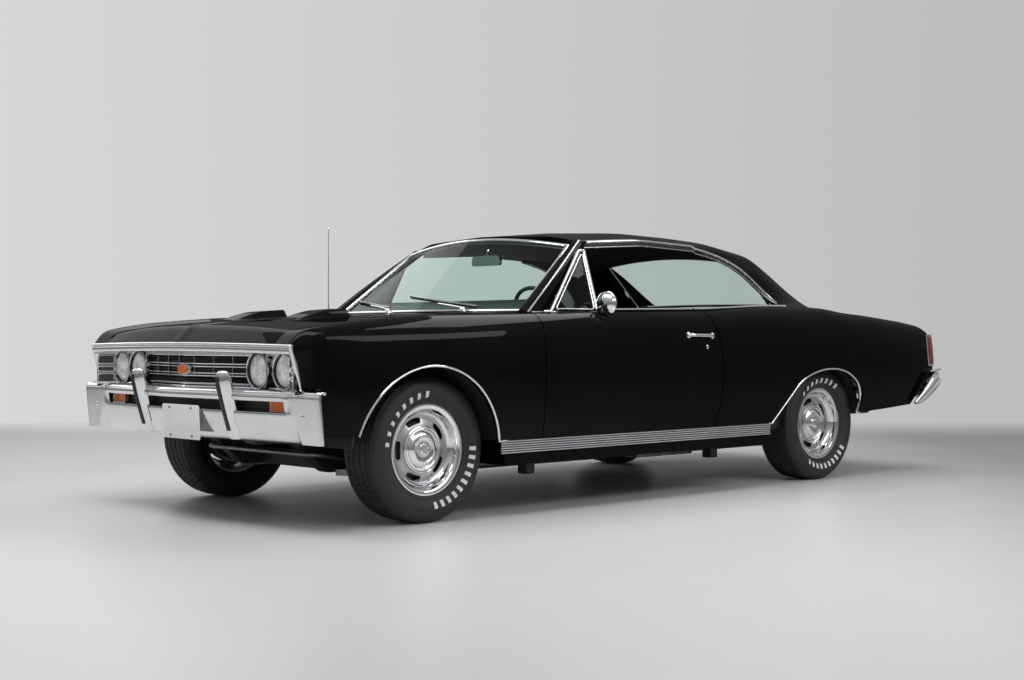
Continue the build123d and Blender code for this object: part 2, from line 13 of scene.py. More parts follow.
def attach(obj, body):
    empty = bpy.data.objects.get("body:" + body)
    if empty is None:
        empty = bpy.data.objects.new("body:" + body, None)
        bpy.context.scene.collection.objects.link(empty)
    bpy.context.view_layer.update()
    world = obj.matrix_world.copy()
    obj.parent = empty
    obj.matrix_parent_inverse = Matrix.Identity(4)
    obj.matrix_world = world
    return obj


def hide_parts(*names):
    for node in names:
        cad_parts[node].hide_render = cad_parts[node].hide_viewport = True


bl_info = {
    "name": "Hardtop Muscle Car",
    "version": (1, 0, 0),
    "blender": (4, 5, 0),
    "location": "View3D > Sidebar > Car",
    "description": "Builds the painted body, brightwork, wheels and cabin round a packed car",
    "category": "Object",
}

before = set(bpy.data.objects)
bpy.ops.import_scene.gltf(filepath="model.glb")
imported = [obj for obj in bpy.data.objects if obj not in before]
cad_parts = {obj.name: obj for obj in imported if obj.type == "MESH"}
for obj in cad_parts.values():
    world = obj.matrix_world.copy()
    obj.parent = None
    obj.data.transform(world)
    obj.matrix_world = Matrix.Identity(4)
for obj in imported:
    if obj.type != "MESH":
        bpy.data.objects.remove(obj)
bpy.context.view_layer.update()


# ---------------------------------------------------------------- the body's own measures
WHEEL_X = 0.744
FRONT_AXLE_Y = -1.705
REAR_AXLE_Y = 1.216
WHEELS = (("front_left", WHEEL_X, FRONT_AXLE_Y), ("front_right", -WHEEL_X, FRONT_AXLE_Y),
          ("rear_left", WHEEL_X, REAR_AXLE_Y), ("rear_right", -WHEEL_X, REAR_AXLE_Y))
TYRE_R = 0.320
SIDES = (("left", False), ("right", True))       # the right side is the left mirrored
FENDER_REAR_Y = -1.091
DOOR_FRONT_Y = -1.085
GAP = 0.006
TAIL_Y = 2.320
ARCH_FRONT = (-1.760, 0.285, 0.402)
DOOR_REAR_EDGE = ((0.075, 1.000), (0.195, 0.744), (0.132, 0.300))

# Body side by station: y, then x and z of sill edge, waist, shoulder, crest and inner top edge.
SIDE = (
    (-2.418, (0.770, 0.345), (0.790, 0.600), (0.812, 0.720), (0.806, 0.776), (0.700, 0.775)),
    (-2.395, (0.786, 0.345), (0.806, 0.600), (0.832, 0.738), (0.812, 0.802), (0.700, 0.798)),
    (-2.368, (0.806, 0.345), (0.826, 0.603), (0.853, 0.758), (0.818, 0.831), (0.700, 0.824)),
    (-2.330, (0.848, 0.345), (0.866, 0.608), (0.876, 0.782), (0.828, 0.846), (0.700, 0.839)),
    (-2.270, (0.884, 0.345), (0.904, 0.618), (0.897, 0.800), (0.835, 0.857), (0.700, 0.848)),
    (-2.200, (0.904, 0.345), (0.926, 0.628), (0.911, 0.810), (0.840, 0.868), (0.700, 0.857)),
    (-2.124, (0.915, 0.345), (0.938, 0.638), (0.920, 0.815), (0.842, 0.879), (0.700, 0.866)),
    (-1.900, (0.922, 0.345), (0.946, 0.652), (0.928, 0.824), (0.844, 0.898), (0.700, 0.884)),
    (-1.705, (0.925, 0.345), (0.950, 0.660), (0.932, 0.830), (0.845, 0.911), (0.700, 0.897)),
    (-1.089, (0.925, 0.345), (0.948, 0.660), (0.930, 0.850), (0.845, 0.926), (0.700, 0.915)),
    (-0.485, (0.925, 0.345), (0.947, 0.680), (0.930, 0.885), (0.842, 0.946), (0.710, 0.936)),
    (0.200, (0.925, 0.345), (0.947, 0.690), (0.930, 0.895), (0.845, 0.958), (0.712, 0.948)),
    (0.684, (0.925, 0.345), (0.950, 0.700), (0.935, 0.905), (0.850, 0.980), (0.712, 0.972)),
    (0.830, (0.924, 0.350), (0.951, 0.700), (0.936, 0.904), (0.853, 0.980), (0.740, 0.978)),
    (0.950, (0.923, 0.353), (0.952, 0.700), (0.937, 0.903), (0.856, 0.979), (0.800, 0.982)),
    (1.216, (0.920, 0.360), (0.952, 0.700), (0.938, 0.900), (0.860, 0.973), (0.795, 0.978)),
    (1.400, (0.917, 0.370), (0.950, 0.690), (0.936, 0.882), (0.860, 0.951), (0.740, 0.958)),
    (1.600, (0.915, 0.378), (0.948, 0.682), (0.933, 0.869), (0.860, 0.940), (0.672, 0.941)),
    (1.720, (0.915, 0.380), (0.948, 0.680), (0.932, 0.861), (0.860, 0.930), (0.670, 0.926)),
    (2.023, (0.900, 0.400), (0.935, 0.660), (0.918, 0.828), (0.855, 0.905), (0.670, 0.899)),
    (2.250, (0.880, 0.410), (0.915, 0.640), (0.900, 0.801), (0.850, 0.877), (0.670, 0.870)),
    (2.320, (0.870, 0.420), (0.905, 0.630), (0.890, 0.783), (0.845, 0.841), (0.670, 0.848)),
)
# Roof and sail by station: y, then x and z of foot, bend, drip rail, top, inner edge and middle.
ROOF = (
    (-0.660, (0.78, 0.96), (0.66, 1.19), (0.602, 1.277), (0.560, 1.294), (0.450, 1.315), (0.0, 1.332)),
    (-0.100, (0.79, 0.97), (0.69, 1.22), (0.645, 1.311), (0.600, 1.331), (0.480, 1.358), (0.0, 1.382)),
    (0.250, (0.80, 0.98), (0.70, 1.21), (0.652, 1.300), (0.608, 1.319), (0.500, 1.349), (0.0, 1.380)),
    (0.520, (0.80, 0.985), (0.695, 1.20), (0.646, 1.289), (0.604, 1.310), (0.520, 1.333), (0.0, 1.366)),
    (0.860, (0.80, 0.985), (0.697, 1.149), (0.640, 1.232), (0.598, 1.262), (0.530, 1.276), (0.0, 1.298)),
    (1.020, (0.80, 0.984), (0.696, 1.078), (0.634, 1.159), (0.594, 1.188), (0.533, 1.200), (0.0, 1.224)),
    (1.130, (0.80, 0.982), (0.693, 1.031), (0.630, 1.103), (0.594, 1.130), (0.536, 1.140), (0.0, 1.162)),
    (1.230, (0.795, 0.977), (0.688, 1.001), (0.630, 1.054), (0.595, 1.074), (0.540, 1.082), (0.0, 1.082)),
    (1.330, (0.768, 0.970), (0.684, 0.982), (0.630, 1.008), (0.596, 1.021), (0.542, 1.026), (0.0, 1.026)),
    (1.440, (0.728, 0.958), (0.676, 0.960), (0.628, 0.964), (0.597, 0.969), (0.544, 0.972), (0.0, 0.973)),
    (1.580, (0.675, 0.944), (0.652, 0.942), (0.622, 0.943), (0.598, 0.944), (0.546, 0.946), (0.0, 0.950)),
    (1.700, (0.660, 0.932), (0.650, 0.930), (0.622, 0.932), (0.598, 0.934), (0.546, 0.936), (0.0, 0.940)),
)
# Hood and trunk lid by station: y, z at the side edge, z at the middle.
HOOD = ((-2.446, 0.775, 0.786), (-2.428, 0.792, 0.806), (-2.385, 0.824, 0.848), (-2.355, 0.836, 0.862),
        (-2.270, 0.846, 0.869), (-2.100, 0.866, 0.884), (-1.705, 0.893, 0.912), (-1.200, 0.908, 0.930))
LID = ((1.585, 0.940, 0.972), (1.850, 0.917, 0.950), (2.100, 0.889, 0.920), (2.305, 0.852, 0.880))
HOOD_HALF_W = 0.693
PLATE_HALF_W = 0.1525
LID_HALF_W = 0.663
LID_WALL = 0.018             # thickness of hood and trunk lid


# ---------------------------------------------------------------- curves and surfaces
def cubic(points, places):
    """Points on the smooth curve through a list, at fractional places along it."""
    points = np.asarray(points, float)
    places = np.clip(np.asarray(places, float), 0, len(points) - 1)
    k = np.clip(places.astype(int), 0, len(points) - 2)
    f = (places - k).reshape((-1,) + (1,) * (points.ndim - 1))
    before, after = np.maximum(k - 1, 0), np.minimum(k + 2, len(points) - 1)
    a, b, c, d = points[before], points[k], points[k + 1], points[after]
    return b + 0.5 * f * (c - a + f * (2 * a - 5 * b + 4 * c - d + f * (3 * (b - c) + d - a)))


def along(points, count):
    """Evenly spaced points on a run of straight pieces."""
    points = np.asarray(points, float)
    run = np.concatenate([[0], np.cumsum(np.linalg.norm(np.diff(points, axis=0), axis=1))])
    at = np.linspace(0, run[-1], count)
    return np.stack([np.interp(at, run, points[:, k]) for k in range(points.shape[1])], 1)


def arc(start, middle, end, count):
    """Points on the circle through three points in a plane."""
    (ax, ay), (bx, by), (cx, cy) = start, middle, end
    d = 2 * (ax * (by - cy) + bx * (cy - ay) + cx * (ay - by))
    ux = ((ax**2 + ay**2) * (by - cy) + (bx**2 + by**2) * (cy - ay) + (cx**2 + cy**2) * (ay - by)) / d
    uy = ((ax**2 + ay**2) * (cx - bx) + (bx**2 + by**2) * (ax - cx) + (cx**2 + cy**2) * (bx - ax)) / d
    angles = [math.atan2(y - uy, x - ux) for x, y in (start, middle, end)]
    turn = (angles[2] - angles[0]) % math.tau
    if (angles[1] - angles[0]) % math.tau > turn:
        turn -= math.tau
    at = angles[0] + np.linspace(0, 1, count) * turn
    radius = math.hypot(ax - ux, ay - uy)
    return np.stack([ux + radius * np.cos(at), uy + radius * np.sin(at)], 1)


class Track:
    """Values that change along the car, read from a table's rows and softened between them."""

    def __init__(self, places, values, soft):
        places, values = np.asarray(places, float), np.asarray(values, float).reshape(len(places), -1)
        first = values[0] - (values[1] - values[0]) / (places[1] - places[0])
        last = values[-1] + (values[-1] - values[-2]) / (places[-1] - places[-2])
        self.places = np.concatenate([[places[0] - 1], places, [places[-1] + 1]])
        self.values = np.concatenate([[first], values, [last]])
        self.soft = soft
        self.reach = np.linspace(-1, 1, 13)[1:-1]
        self.weight = 1 + np.cos(np.pi * self.reach)
        self.weight /= self.weight.sum()

    def at(self, places):
        places = np.atleast_1d(np.asarray(places, float))
        soft = np.interp(places, *zip(*self.soft)) if isinstance(self.soft, tuple) else self.soft
        near = places[:, None] + self.reach * np.reshape(soft, (-1, 1))
        return np.stack([np.interp(near, self.places, v) @ self.weight for v in self.values.T], 1)


class Skin:
    """A body surface: a cross-section of softened spans, carried along the car by its tracks."""

    def __init__(self, rows, spans, soft, rounding):
        self.tracks = Track([row[0] for row in rows], [np.ravel(row[1:]) for row in rows], soft)
        self.spans = spans
        self.rounding = rounding
        self.last = sum(span[-1] for span in spans)

    def sections(self, ys):
        corner = self.tracks.at(ys).reshape(len(ys), -1, 2)
        lines = []
        for *ends, count in self.spans:
            f = np.linspace(0, 1, count + 1)[None, :, None]
            a, b = corner[:, ends[0], None], corner[:, ends[-1], None]
            line = a + (b - a) * f
            if len(ends) == 3:
                line = line + 4 * f * (1 - f) * (corner[:, ends[1], None] - (a + b) / 2)
            lines.append(line if not lines else line[:, 1:])
        found = np.concatenate(lines, 1)
        for _ in range(self.rounding):
            inner = (found[:, :-2] + 2 * found[:, 1:-1] + found[:, 2:]) / 4
            found = np.concatenate([found[:, :1], inner, found[:, -1:]], 1)
        return found

    def points(self, ys, ts):
        """Points on the left-hand surface at stations ys and section places ts."""
        ys, ts = np.ravel(ys), np.ravel(ts)
        found = self.sections(ys)
        ts = np.clip(ts, 0, self.last)
        k = np.clip(ts.astype(int), 0, self.last - 1)
        f = (ts - k)[:, None]
        row = np.arange(len(ys))
        a, b = found[row, np.maximum(k - 1, 0)], found[row, k]
        c, d = found[row, k + 1], found[row, np.minimum(k + 2, self.last)]
        xz = b + 0.5 * f * (c - a + f * (2 * a - 5 * b + 4 * c - d + f * (3 * (b - c) + d - a)))
        return np.stack([xz[:, 0], ys, xz[:, 1]], 1)

    def place(self, ys, zs, highest):
        """Section places at which the surface has the heights zs, below the place highest."""
        found = self.sections(np.ravel(ys))[:, : highest + 1, 1]
        return np.array([np.interp(z, row, np.arange(highest + 1)) for z, row in zip(np.ravel(zs), found)])

    def patch(self, bottom, top, front, rear):
        """A grid of points between four edges, each a list of station and section place."""
        bottom, top, front, rear = (np.asarray(e, float) for e in (bottom, top, front, rear))
        u = np.linspace(0, 1, len(front))[:, None, None]
        v = np.linspace(0, 1, len(bottom))[None, :, None]
        net = (1 - u) * bottom[None] + u * top[None] + (1 - v) * front[:, None] + v * rear[:, None]
        net = net - (1 - u) * (1 - v) * bottom[0] - (1 - u) * v * bottom[-1]
        net = net - u * (1 - v) * top[0] - u * v * top[-1]
        return self.points(net[..., 0], net[..., 1]).reshape(net.shape[0], net.shape[1], 3)


SHOULDER, CREST, EDGE = 44, 60, 72     # section places on the body side
BEND, DRIP, INNER, MIDDLE = 14, 22, 34, 46   # section places on the roof


def with_bulge(row):
    """A row of SIDE with the point that rounds its shoulder."""
    y, low, waist, shoulder, crest, edge = row
    outer = ((shoulder[0] + crest[0]) / 2 + 0.010, (shoulder[1] + crest[1]) / 2 + 0.010)
    return y, low, waist, shoulder, outer, crest, edge


def with_hollow(row):
    """A row of ROOF with the point that hollows the sail's foot into the body."""
    y, foot, bend, *rest = row
    depth = (bend[1] - foot[1]) * 0.16
    hollow = ((foot[0] + bend[0]) / 2 - depth * 0.6, (foot[1] + bend[1]) / 2 - depth)
    return y, foot, hollow, bend, *rest


side_skin = Skin([with_bulge(r) for r in SIDE], ((0, 1, 2, 44), (2, 3, 4, 16), (4, 5, 12)),
                 ((-2.42, 0.025), (-2.20, 0.05), (-1.90, 0.11)), 5)
roof_skin = Skin([with_hollow(r) for r in ROOF], ((0, 1, 2, 14), (2, 3, 8), (3, 4, 4), (4, 5, 8), (5, 6, 12)),
                 0.10, 4)
NOSE_SOFT = ((-2.40, 0.018), (-2.20, 0.03), (-1.90, 0.10))
hood_edge = Track([r[0] for r in HOOD], [r[1] for r in HOOD], NOSE_SOFT)
hood_middle = Track([r[0] for r in HOOD], [r[2] for r in HOOD], NOSE_SOFT)
lid_edge = Track([r[0] for r in LID], [r[1] for r in LID], 0.08)
lid_middle = Track([r[0] for r in LID], [r[2] for r in LID], 0.08)


# ---------------------------------------------------------------- meshes
def grid_faces(rows, columns, wrap=False):
    """Faces between neighbouring rows of points."""
    faces = []
    for r in range(rows - 1):
        for c in range(columns if wrap else columns - 1):
            a, b = r * columns + c, r * columns + (c + 1) % columns
            faces.append((a, b, b + columns, a + columns))
    return faces


def mesh_object(name, points, faces, material, smooth_deg=40, weld=1e-5):
    """A mesh object at the origin, its doubles merged, shaded smooth below an angle."""
    mesh = bpy.data.meshes.new(name)
    mesh.from_pydata([tuple(p) for p in points], [], [tuple(f) for f in faces])
    if weld:
        work = bmesh.new()
        work.from_mesh(mesh)
        bmesh.ops.remove_doubles(work, verts=work.verts, dist=weld)
        bmesh.ops.dissolve_degenerate(work, edges=work.edges, dist=weld / 10)
        work.to_mesh(mesh)
        work.free()
    finish_mesh(mesh, smooth_deg)
    piece = bpy.data.objects.new(name, mesh)
    bpy.context.scene.collection.objects.link(piece)
    mesh.materials.append(material)
    return piece


def finish_mesh(mesh, smooth_deg):
    mesh.validate()
    mesh.polygons.foreach_set("use_smooth", [True] * len(mesh.polygons))
    mesh.set_sharp_from_angle(angle=math.radians(smooth_deg))
    mesh.update()


def face_outwards(piece):
    """Closed shells get their normals recalculated."""
    work = bmesh.new()
    work.from_mesh(piece.data)
    bmesh.ops.recalc_face_normals(work, faces=work.faces)
    work.to_mesh(piece.data)
    work.free()
    return piece


def join_parts(parts):
    """One list of points and faces from several."""
    points, faces = [], []
    for some_points, some_faces in parts:
        start = len(points)
        points.extend(tuple(p) for p in some_points)
        faces.extend(tuple(start + k for k in f) for f in some_faces)
    return points, faces


def mirrored(part):
    """The same part on the other side of the car."""
    points, faces = part
    return [(-p[0], p[1], p[2]) for p in points], [tuple(reversed(f)) for f in faces]


def sheet_part(net, flip=False):
    """Points and faces of a grid of points."""
    net = np.asarray(net)
    faces = grid_faces(net.shape[0], net.shape[1])
    return net.reshape(-1, 3), [tuple(reversed(f)) for f in faces] if flip else faces


def ring_faces(rows, columns):
    """Faces of a skin closed both ways, its last row joined to its first."""
    last = (rows - 1) * columns
    joint = [(last + c, last + (c + 1) % columns, (c + 1) % columns, c) for c in range(columns)]
    return grid_faces(rows, columns, wrap=True) + joint


def revolve_part(profile, count, axis="X", centre=(0, 0, 0), closed=False):
    """A profile of (distance along the axis, radius) turned about it."""
    points, rows = [], len(profile)
    for along_axis, radius in profile:
        for k in range(count):
            a = math.tau * k / count
            u, v = radius * math.cos(a), radius * math.sin(a)
            p = {"X": (along_axis, u, v), "Y": (u, along_axis, v), "Z": (u, v, along_axis)}[axis]
            points.append((p[0] + centre[0], p[1] + centre[1], p[2] + centre[2]))
    return points, ring_faces(rows, count) if closed else grid_faces(rows, count, wrap=True)


def full_turn(count):
    """Evenly spaced angles round a circle, from zero."""
    return np.linspace(0, math.tau, count + 1)[:-1]


def spots(*axes):
    """Points from their coordinates, each a run of numbers or one number for all."""
    return np.stack(np.broadcast_arrays(*axes), -1)


def closed_faces(rows, columns):
    """Faces of a closed tube's skin with its two flat ends."""
    ends = [tuple(range(columns)), tuple(reversed(range((rows - 1) * columns, rows * columns)))]
    return grid_faces(rows, columns, wrap=True) + ends


def sweep_part(path, outward, profile, closed=False):
    """A closed profile of (sideways, outward) carried along a path."""
    path = np.asarray(path, float)
    outward = np.broadcast_to(np.asarray(outward, float), path.shape)
    if closed:
        tangent = np.roll(path, -1, 0) - np.roll(path, 1, 0)
    else:
        tangent = np.gradient(path, axis=0)
    tangent = tangent / np.linalg.norm(tangent, axis=1)[:, None]
    side = np.cross(tangent, outward)
    side = side / np.linalg.norm(side, axis=1)[:, None]
    out = np.cross(side, tangent)
    profile = np.asarray(profile, float)
    net = path[:, None] + side[:, None] * profile[None, :, :1] + out[:, None] * profile[None, :, 1:]
    rows, columns = net.shape[:2]
    return net.reshape(-1, 3), ring_faces(rows, columns) if closed else closed_faces(rows, columns)


def box_part(low, high):
    """A block from its lowest to its highest corner."""
    xs, ys, zs = zip(low, high)
    points = [(x, y, z) for x in xs for y in ys for z in zs]
    faces = [(0, 1, 3, 2), (4, 6, 7, 5), (0, 4, 5, 1), (2, 3, 7, 6), (0, 2, 6, 4), (1, 5, 7, 3)]
    return points, faces


def tube_part(path, radius, count=12):
    """A round bar along a path."""
    path = np.asarray(path, float)
    tangent = np.gradient(path, axis=0)
    tangent = tangent / np.linalg.norm(tangent, axis=1)[:, None]
    helper = np.array([0.0, 0.0, 1.0]) if abs(tangent[0][2]) < 0.9 else np.array([1.0, 0.0, 0.0])
    normal = np.cross(tangent[0], helper)
    normals = []
    for t in tangent:
        normal = normal - t * (normal @ t)
        normal = normal / np.linalg.norm(normal)
        normals.append(normal)
    ring = [(radius * math.cos(math.tau * k / count), radius * math.sin(math.tau * k / count))
            for k in range(count)]
    return sweep_part(path, np.array(normals), ring)


def half_round(width, height, steps=6):
    """A moulding's profile: a low arch on a flat back."""
    points = [(width / 2 * math.cos(math.pi * k / steps), height * math.sin(math.pi * k / steps))
              for k in range(steps + 1)]
    return points + [(-width / 2, -0.004), (width / 2, -0.004)]


def bevel(piece, width, angle=35):
    """Rounds a piece's sharp edges."""
    m = piece.modifiers.new("rounded_edges", "BEVEL")
    m.width = width
    m.segments = 2
    m.limit_method = "ANGLE"
    m.angle_limit = math.radians(angle)
    m.harden_normals = True
    return piece


def thicken(piece, thickness):
    """Gives a sheet its wall, inward."""
    m = piece.modifiers.new("wall", "SOLIDIFY")
    m.thickness = thickness
    m.offset = -1
    m.use_even_offset = False
    return piece


def fit(piece, body, slot, *nodes):
    """A finished piece rides on its body and stands for its nodes; the slot is not used."""
    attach(piece, body)
    if nodes:
        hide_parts(*nodes)
    return piece


# ---------------------------------------------------------------- finishes
def finish_of(name, colour, other=None, metallic=0.0, roughness=0.5, spread=0.05, scale=8.0, bump=0.0,
              bump_scale=120.0, detail=3.0, **sockets):
    """A surface finish: two close colours and an uneven roughness from noise, and a fine bump."""
    material = bpy.data.materials.new(name)
    material.use_nodes = True
    tree = material.node_tree
    shader = tree.nodes["Principled BSDF"]
    place = tree.nodes.new("ShaderNodeTexCoord")
    noise = tree.nodes.new("ShaderNodeTexNoise")
    noise.inputs["Scale"].default_value = scale
    noise.inputs["Detail"].default_value = detail
    tree.links.new(place.outputs["Object"], noise.inputs["Vector"])
    tones = tree.nodes.new("ShaderNodeValToRGB")
    tones.color_ramp.elements[0].position = 0.35
    tones.color_ramp.elements[1].position = 0.65
    tones.color_ramp.elements[0].color = (*colour, 1)
    tones.color_ramp.elements[1].color = (*(other or tuple(c * 0.9 for c in colour)), 1)
    tree.links.new(noise.outputs["Fac"], tones.inputs["Fac"])
    tree.links.new(tones.outputs["Color"], shader.inputs["Base Color"])
    rough = tree.nodes.new("ShaderNodeMapRange")
    rough.inputs["To Min"].default_value = max(0.0, roughness - spread)
    rough.inputs["To Max"].default_value = min(1.0, roughness + spread)
    tree.links.new(noise.outputs["Fac"], rough.inputs["Value"])
    tree.links.new(rough.outputs["Result"], shader.inputs["Roughness"])
    shader.inputs["Metallic"].default_value = metallic
    for socket, value in sockets.items():
        shader.inputs[socket.replace("_", " ")].default_value = value
    if bump:
        grain = tree.nodes.new("ShaderNodeTexNoise")
        grain.inputs["Scale"].default_value = bump_scale
        grain.inputs["Detail"].default_value = detail
        tree.links.new(place.outputs["Object"], grain.inputs["Vector"])
        relief = tree.nodes.new("ShaderNodeBump")
        relief.inputs["Strength"].default_value = bump
        relief.inputs["Distance"].default_value = 0.002
        tree.links.new(grain.outputs["Fac"], relief.inputs["Height"])
        tree.links.new(relief.outputs["Normal"], shader.inputs["Normal"])
    return material


FINISHES = {}


def finish(name):
    """One of the car's finishes, made the first time that it is asked for."""
    if name not in FINISHES:
        FINISHES[name] = MAKERS[name]()
    return FINISHES[name]


def see_through_glass(name, colour, share):
    """Thin glass that light passes straight through, with its reflection on top."""
    material = bpy.data.materials.new(name)
    material.use_nodes = True
    tree = material.node_tree
    tree.nodes.clear()
    out = tree.nodes.new("ShaderNodeOutputMaterial")
    mix = tree.nodes.new("ShaderNodeMixShader")
    clear = tree.nodes.new("ShaderNodeBsdfTransparent")
    shine = tree.nodes.new("ShaderNodeBsdfGlossy")
    lens = tree.nodes.new("ShaderNodeFresnel")
    face, front, outer = (tree.nodes.new(n) for n in ("ShaderNodeNewGeometry", "ShaderNodeMath",
                                                      "ShaderNodeMath"))
    place = tree.nodes.new("ShaderNodeTexCoord")
    noise = tree.nodes.new("ShaderNodeTexNoise")
    tint = tree.nodes.new("ShaderNodeValToRGB")
    front.operation, outer.operation = "SUBTRACT", "MULTIPLY"
    front.inputs[0].default_value, front.use_clamp = 0.45, True
    noise.inputs["Scale"].default_value = 2.0
    tint.color_ramp.elements[0].color = (*colour, 1)
    tint.color_ramp.elements[1].color = (*(c * 0.96 for c in colour), 1)
    lens.inputs["IOR"].default_value = share
    shine.inputs["Roughness"].default_value = 0.02
    shine.inputs["Color"].default_value = (0.95, 0.97, 0.96, 1)
    tree.links.new(place.outputs["Object"], noise.inputs["Vector"])
    tree.links.new(noise.outputs["Fac"], tint.inputs["Fac"])
    tree.links.new(tint.outputs["Color"], clear.inputs["Color"])
    tree.links.new(face.outputs["Backfacing"], front.inputs[1])
    tree.links.new(front.outputs["Value"], outer.inputs[0])
    tree.links.new(lens.outputs["Fac"], outer.inputs[1])
    tree.links.new(outer.outputs["Value"], mix.inputs["Fac"])
    tree.links.new(clear.outputs["BSDF"], mix.inputs[1])
    tree.links.new(shine.outputs["BSDF"], mix.inputs[2])
    tree.links.new(mix.outputs["Shader"], out.inputs["Surface"])
    return material


MAKERS = {
    "paint": lambda: finish_of("black_paint", (0.0022, 0.0022, 0.0026), (0.0032, 0.0032, 0.0037),
                               roughness=0.3,
                               spread=0.03, scale=3.0, bump=0.010, bump_scale=260.0, Coat_Weight=0.25,
                               Coat_Roughness=0.02, Coat_IOR=1.45, Specular_IOR_Level=0.0),
    "chrome": lambda: finish_of("chrome", (0.82, 0.83, 0.84), (0.78, 0.79, 0.80), metallic=1.0,
                                roughness=0.07, spread=0.025, scale=14.0),
    "satin_bright": lambda: finish_of("satin_bright", (0.62, 0.63, 0.64), (0.56, 0.57, 0.58), metallic=1.0,
                                      roughness=0.26, spread=0.06, scale=40.0),
    "wheel_silver": lambda: finish_of("wheel_silver", (0.42, 0.43, 0.44), (0.38, 0.39, 0.40), metallic=0.85,
                                      roughness=0.32, spread=0.05, scale=30.0, Coat_Weight=0.5, bump=0.03,
                                      bump_scale=900.0),
    "tyre": lambda: finish_of("tyre_rubber", (0.012, 0.012, 0.012), (0.02, 0.02, 0.02), roughness=0.62,
                              spread=0.12, scale=9.0, bump=0.25, bump_scale=420.0),
    "tyre_white": lambda: finish_of("tyre_white", (0.66, 0.65, 0.62), (0.72, 0.71, 0.69), roughness=0.6,
                                    spread=0.1, scale=30.0, bump=0.2, bump_scale=500.0),
    "black_rubber": lambda: finish_of("black_rubber", (0.014, 0.014, 0.015), (0.022, 0.022, 0.023),
                                      roughness=0.5, spread=0.1, scale=30.0, bump=0.15, bump_scale=600.0),
    "grille_black": lambda: finish_of("grille_black", (0.010, 0.010, 0.011), (0.016, 0.016, 0.017),
                                      roughness=0.38, spread=0.08, scale=25.0, bump=0.05, bump_scale=300.0),
    "charcoal": lambda: finish_of("louvre_charcoal", (0.045, 0.047, 0.048), (0.060, 0.062, 0.063),
                                  roughness=0.45, spread=0.08, scale=30.0, bump=0.05, bump_scale=300.0),
    "chassis_black": lambda: finish_of("chassis_black", (0.018, 0.018, 0.019), (0.03, 0.028, 0.026),
                                       roughness=0.55, spread=0.15, scale=12.0, bump=0.2, bump_scale=180.0),
    "vinyl": lambda: finish_of("black_vinyl", (0.014, 0.014, 0.015), (0.020, 0.020, 0.021), roughness=0.42,
                               spread=0.06, scale=16.0, bump=0.35, bump_scale=700.0, detail=6.0),
    "dash": lambda: finish_of("dash_black", (0.016, 0.016, 0.017), (0.024, 0.024, 0.025), roughness=0.36,
                              spread=0.08, scale=20.0, bump=0.2, bump_scale=500.0),
    "headliner": lambda: finish_of("headliner", (0.022, 0.022, 0.023), (0.034, 0.034, 0.035), roughness=0.8,
                                   spread=0.05, scale=60.0, bump=0.4, bump_scale=900.0),
    "iron": lambda: finish_of("cast_iron", (0.16, 0.035, 0.015), (0.12, 0.028, 0.014), roughness=0.45,
                              spread=0.12, scale=14.0, bump=0.4, bump_scale=240.0),
    "steel": lambda: finish_of("bare_steel", (0.30, 0.30, 0.30), (0.22, 0.21, 0.20), metallic=1.0,
                               roughness=0.42, spread=0.12, scale=22.0, bump=0.1, bump_scale=300.0),
    "brass": lambda: finish_of("radiator_brass", (0.02, 0.02, 0.02), (0.03, 0.028, 0.024), metallic=0.3,
                               roughness=0.5, spread=0.1, scale=30.0, bump=0.2, bump_scale=400.0),
    "red_lens": lambda: finish_of("red_lens", (0.17, 0.006, 0.005), (0.12, 0.004, 0.004), roughness=0.12,
                                  spread=0.03, scale=60.0, Coat_Weight=1.0, Subsurface_Weight=0.0),
    "amber_lens": lambda: finish_of("amber_lens", (0.85, 0.20, 0.015), (0.72, 0.15, 0.01), roughness=0.14,
                                    spread=0.04, scale=60.0, Coat_Weight=1.0),
    # Headlamp lenses: pale mottled glass with a fine bump, and a faint white emission that is a painted glow,
    # standing in for light that the unlit lenses catch.
    "lamp_glass": lambda: finish_of("lamp_glass", (0.93, 0.94, 0.95), (0.42, 0.44, 0.46), roughness=0.10,
                                    spread=0.05, scale=30.0, bump=0.5, bump_scale=140.0, Coat_Weight=1.0,
                                    Emission_Strength=0.10),
    "reflector": lambda: finish_of("reflector", (0.9, 0.9, 0.9), (0.86, 0.86, 0.87), metallic=1.0,
                                   roughness=0.1, spread=0.04, scale=40.0),
    "windshield_glass": lambda: see_through_glass("windshield_glass", (0.84, 0.94, 0.90), 1.30),
    "side_glass": lambda: see_through_glass("side_glass", (0.34, 0.36, 0.35), 1.42),
    "rear_glass": lambda: see_through_glass("rear_glass", (0.86, 0.93, 0.90), 1.30),
    "plate_white": lambda: finish_of("plate_white", (0.88, 0.88, 0.86), (0.84, 0.84, 0.82), roughness=0.35,
                                     spread=0.06, scale=20.0, bump=0.1, bump_scale=90.0),
    "mirror_glass": lambda: finish_of("mirror_glass", (0.92, 0.93, 0.94), (0.90, 0.91, 0.92), metallic=1.0,
                                      roughness=0.02, spread=0.01, scale=6.0),
    "dial": lambda: finish_of("dial_face", (0.02, 0.02, 0.02), (0.05, 0.05, 0.05), roughness=0.3, spread=0.05,
                              scale=90.0),
}


# ---------------------------------------------------------------- painted panels
def side_edge(points):
    """Station and section place on the body side for a list of stations and heights."""
    points = np.asarray(points, float)
    return np.stack([points[:, 0], side_skin.place(points[:, 0], points[:, 1], CREST)], 1)


def spread_over(lower, first, last):
    """Stations for an upper edge: half even, half following the lower edge's own."""
    even = np.linspace(0, 1, len(lower))
    own = (lower - lower[0]) / (lower[-1] - lower[0])
    return first + (last - first) * (even + own) / 2


def door_edge_y(z, gap):
    """Station of the door's curved rear edge at a height."""
    points = arc(*DOOR_REAR_EDGE, 60)[::-1]
    return np.interp(z, points[:, 1], points[:, 0]) + gap


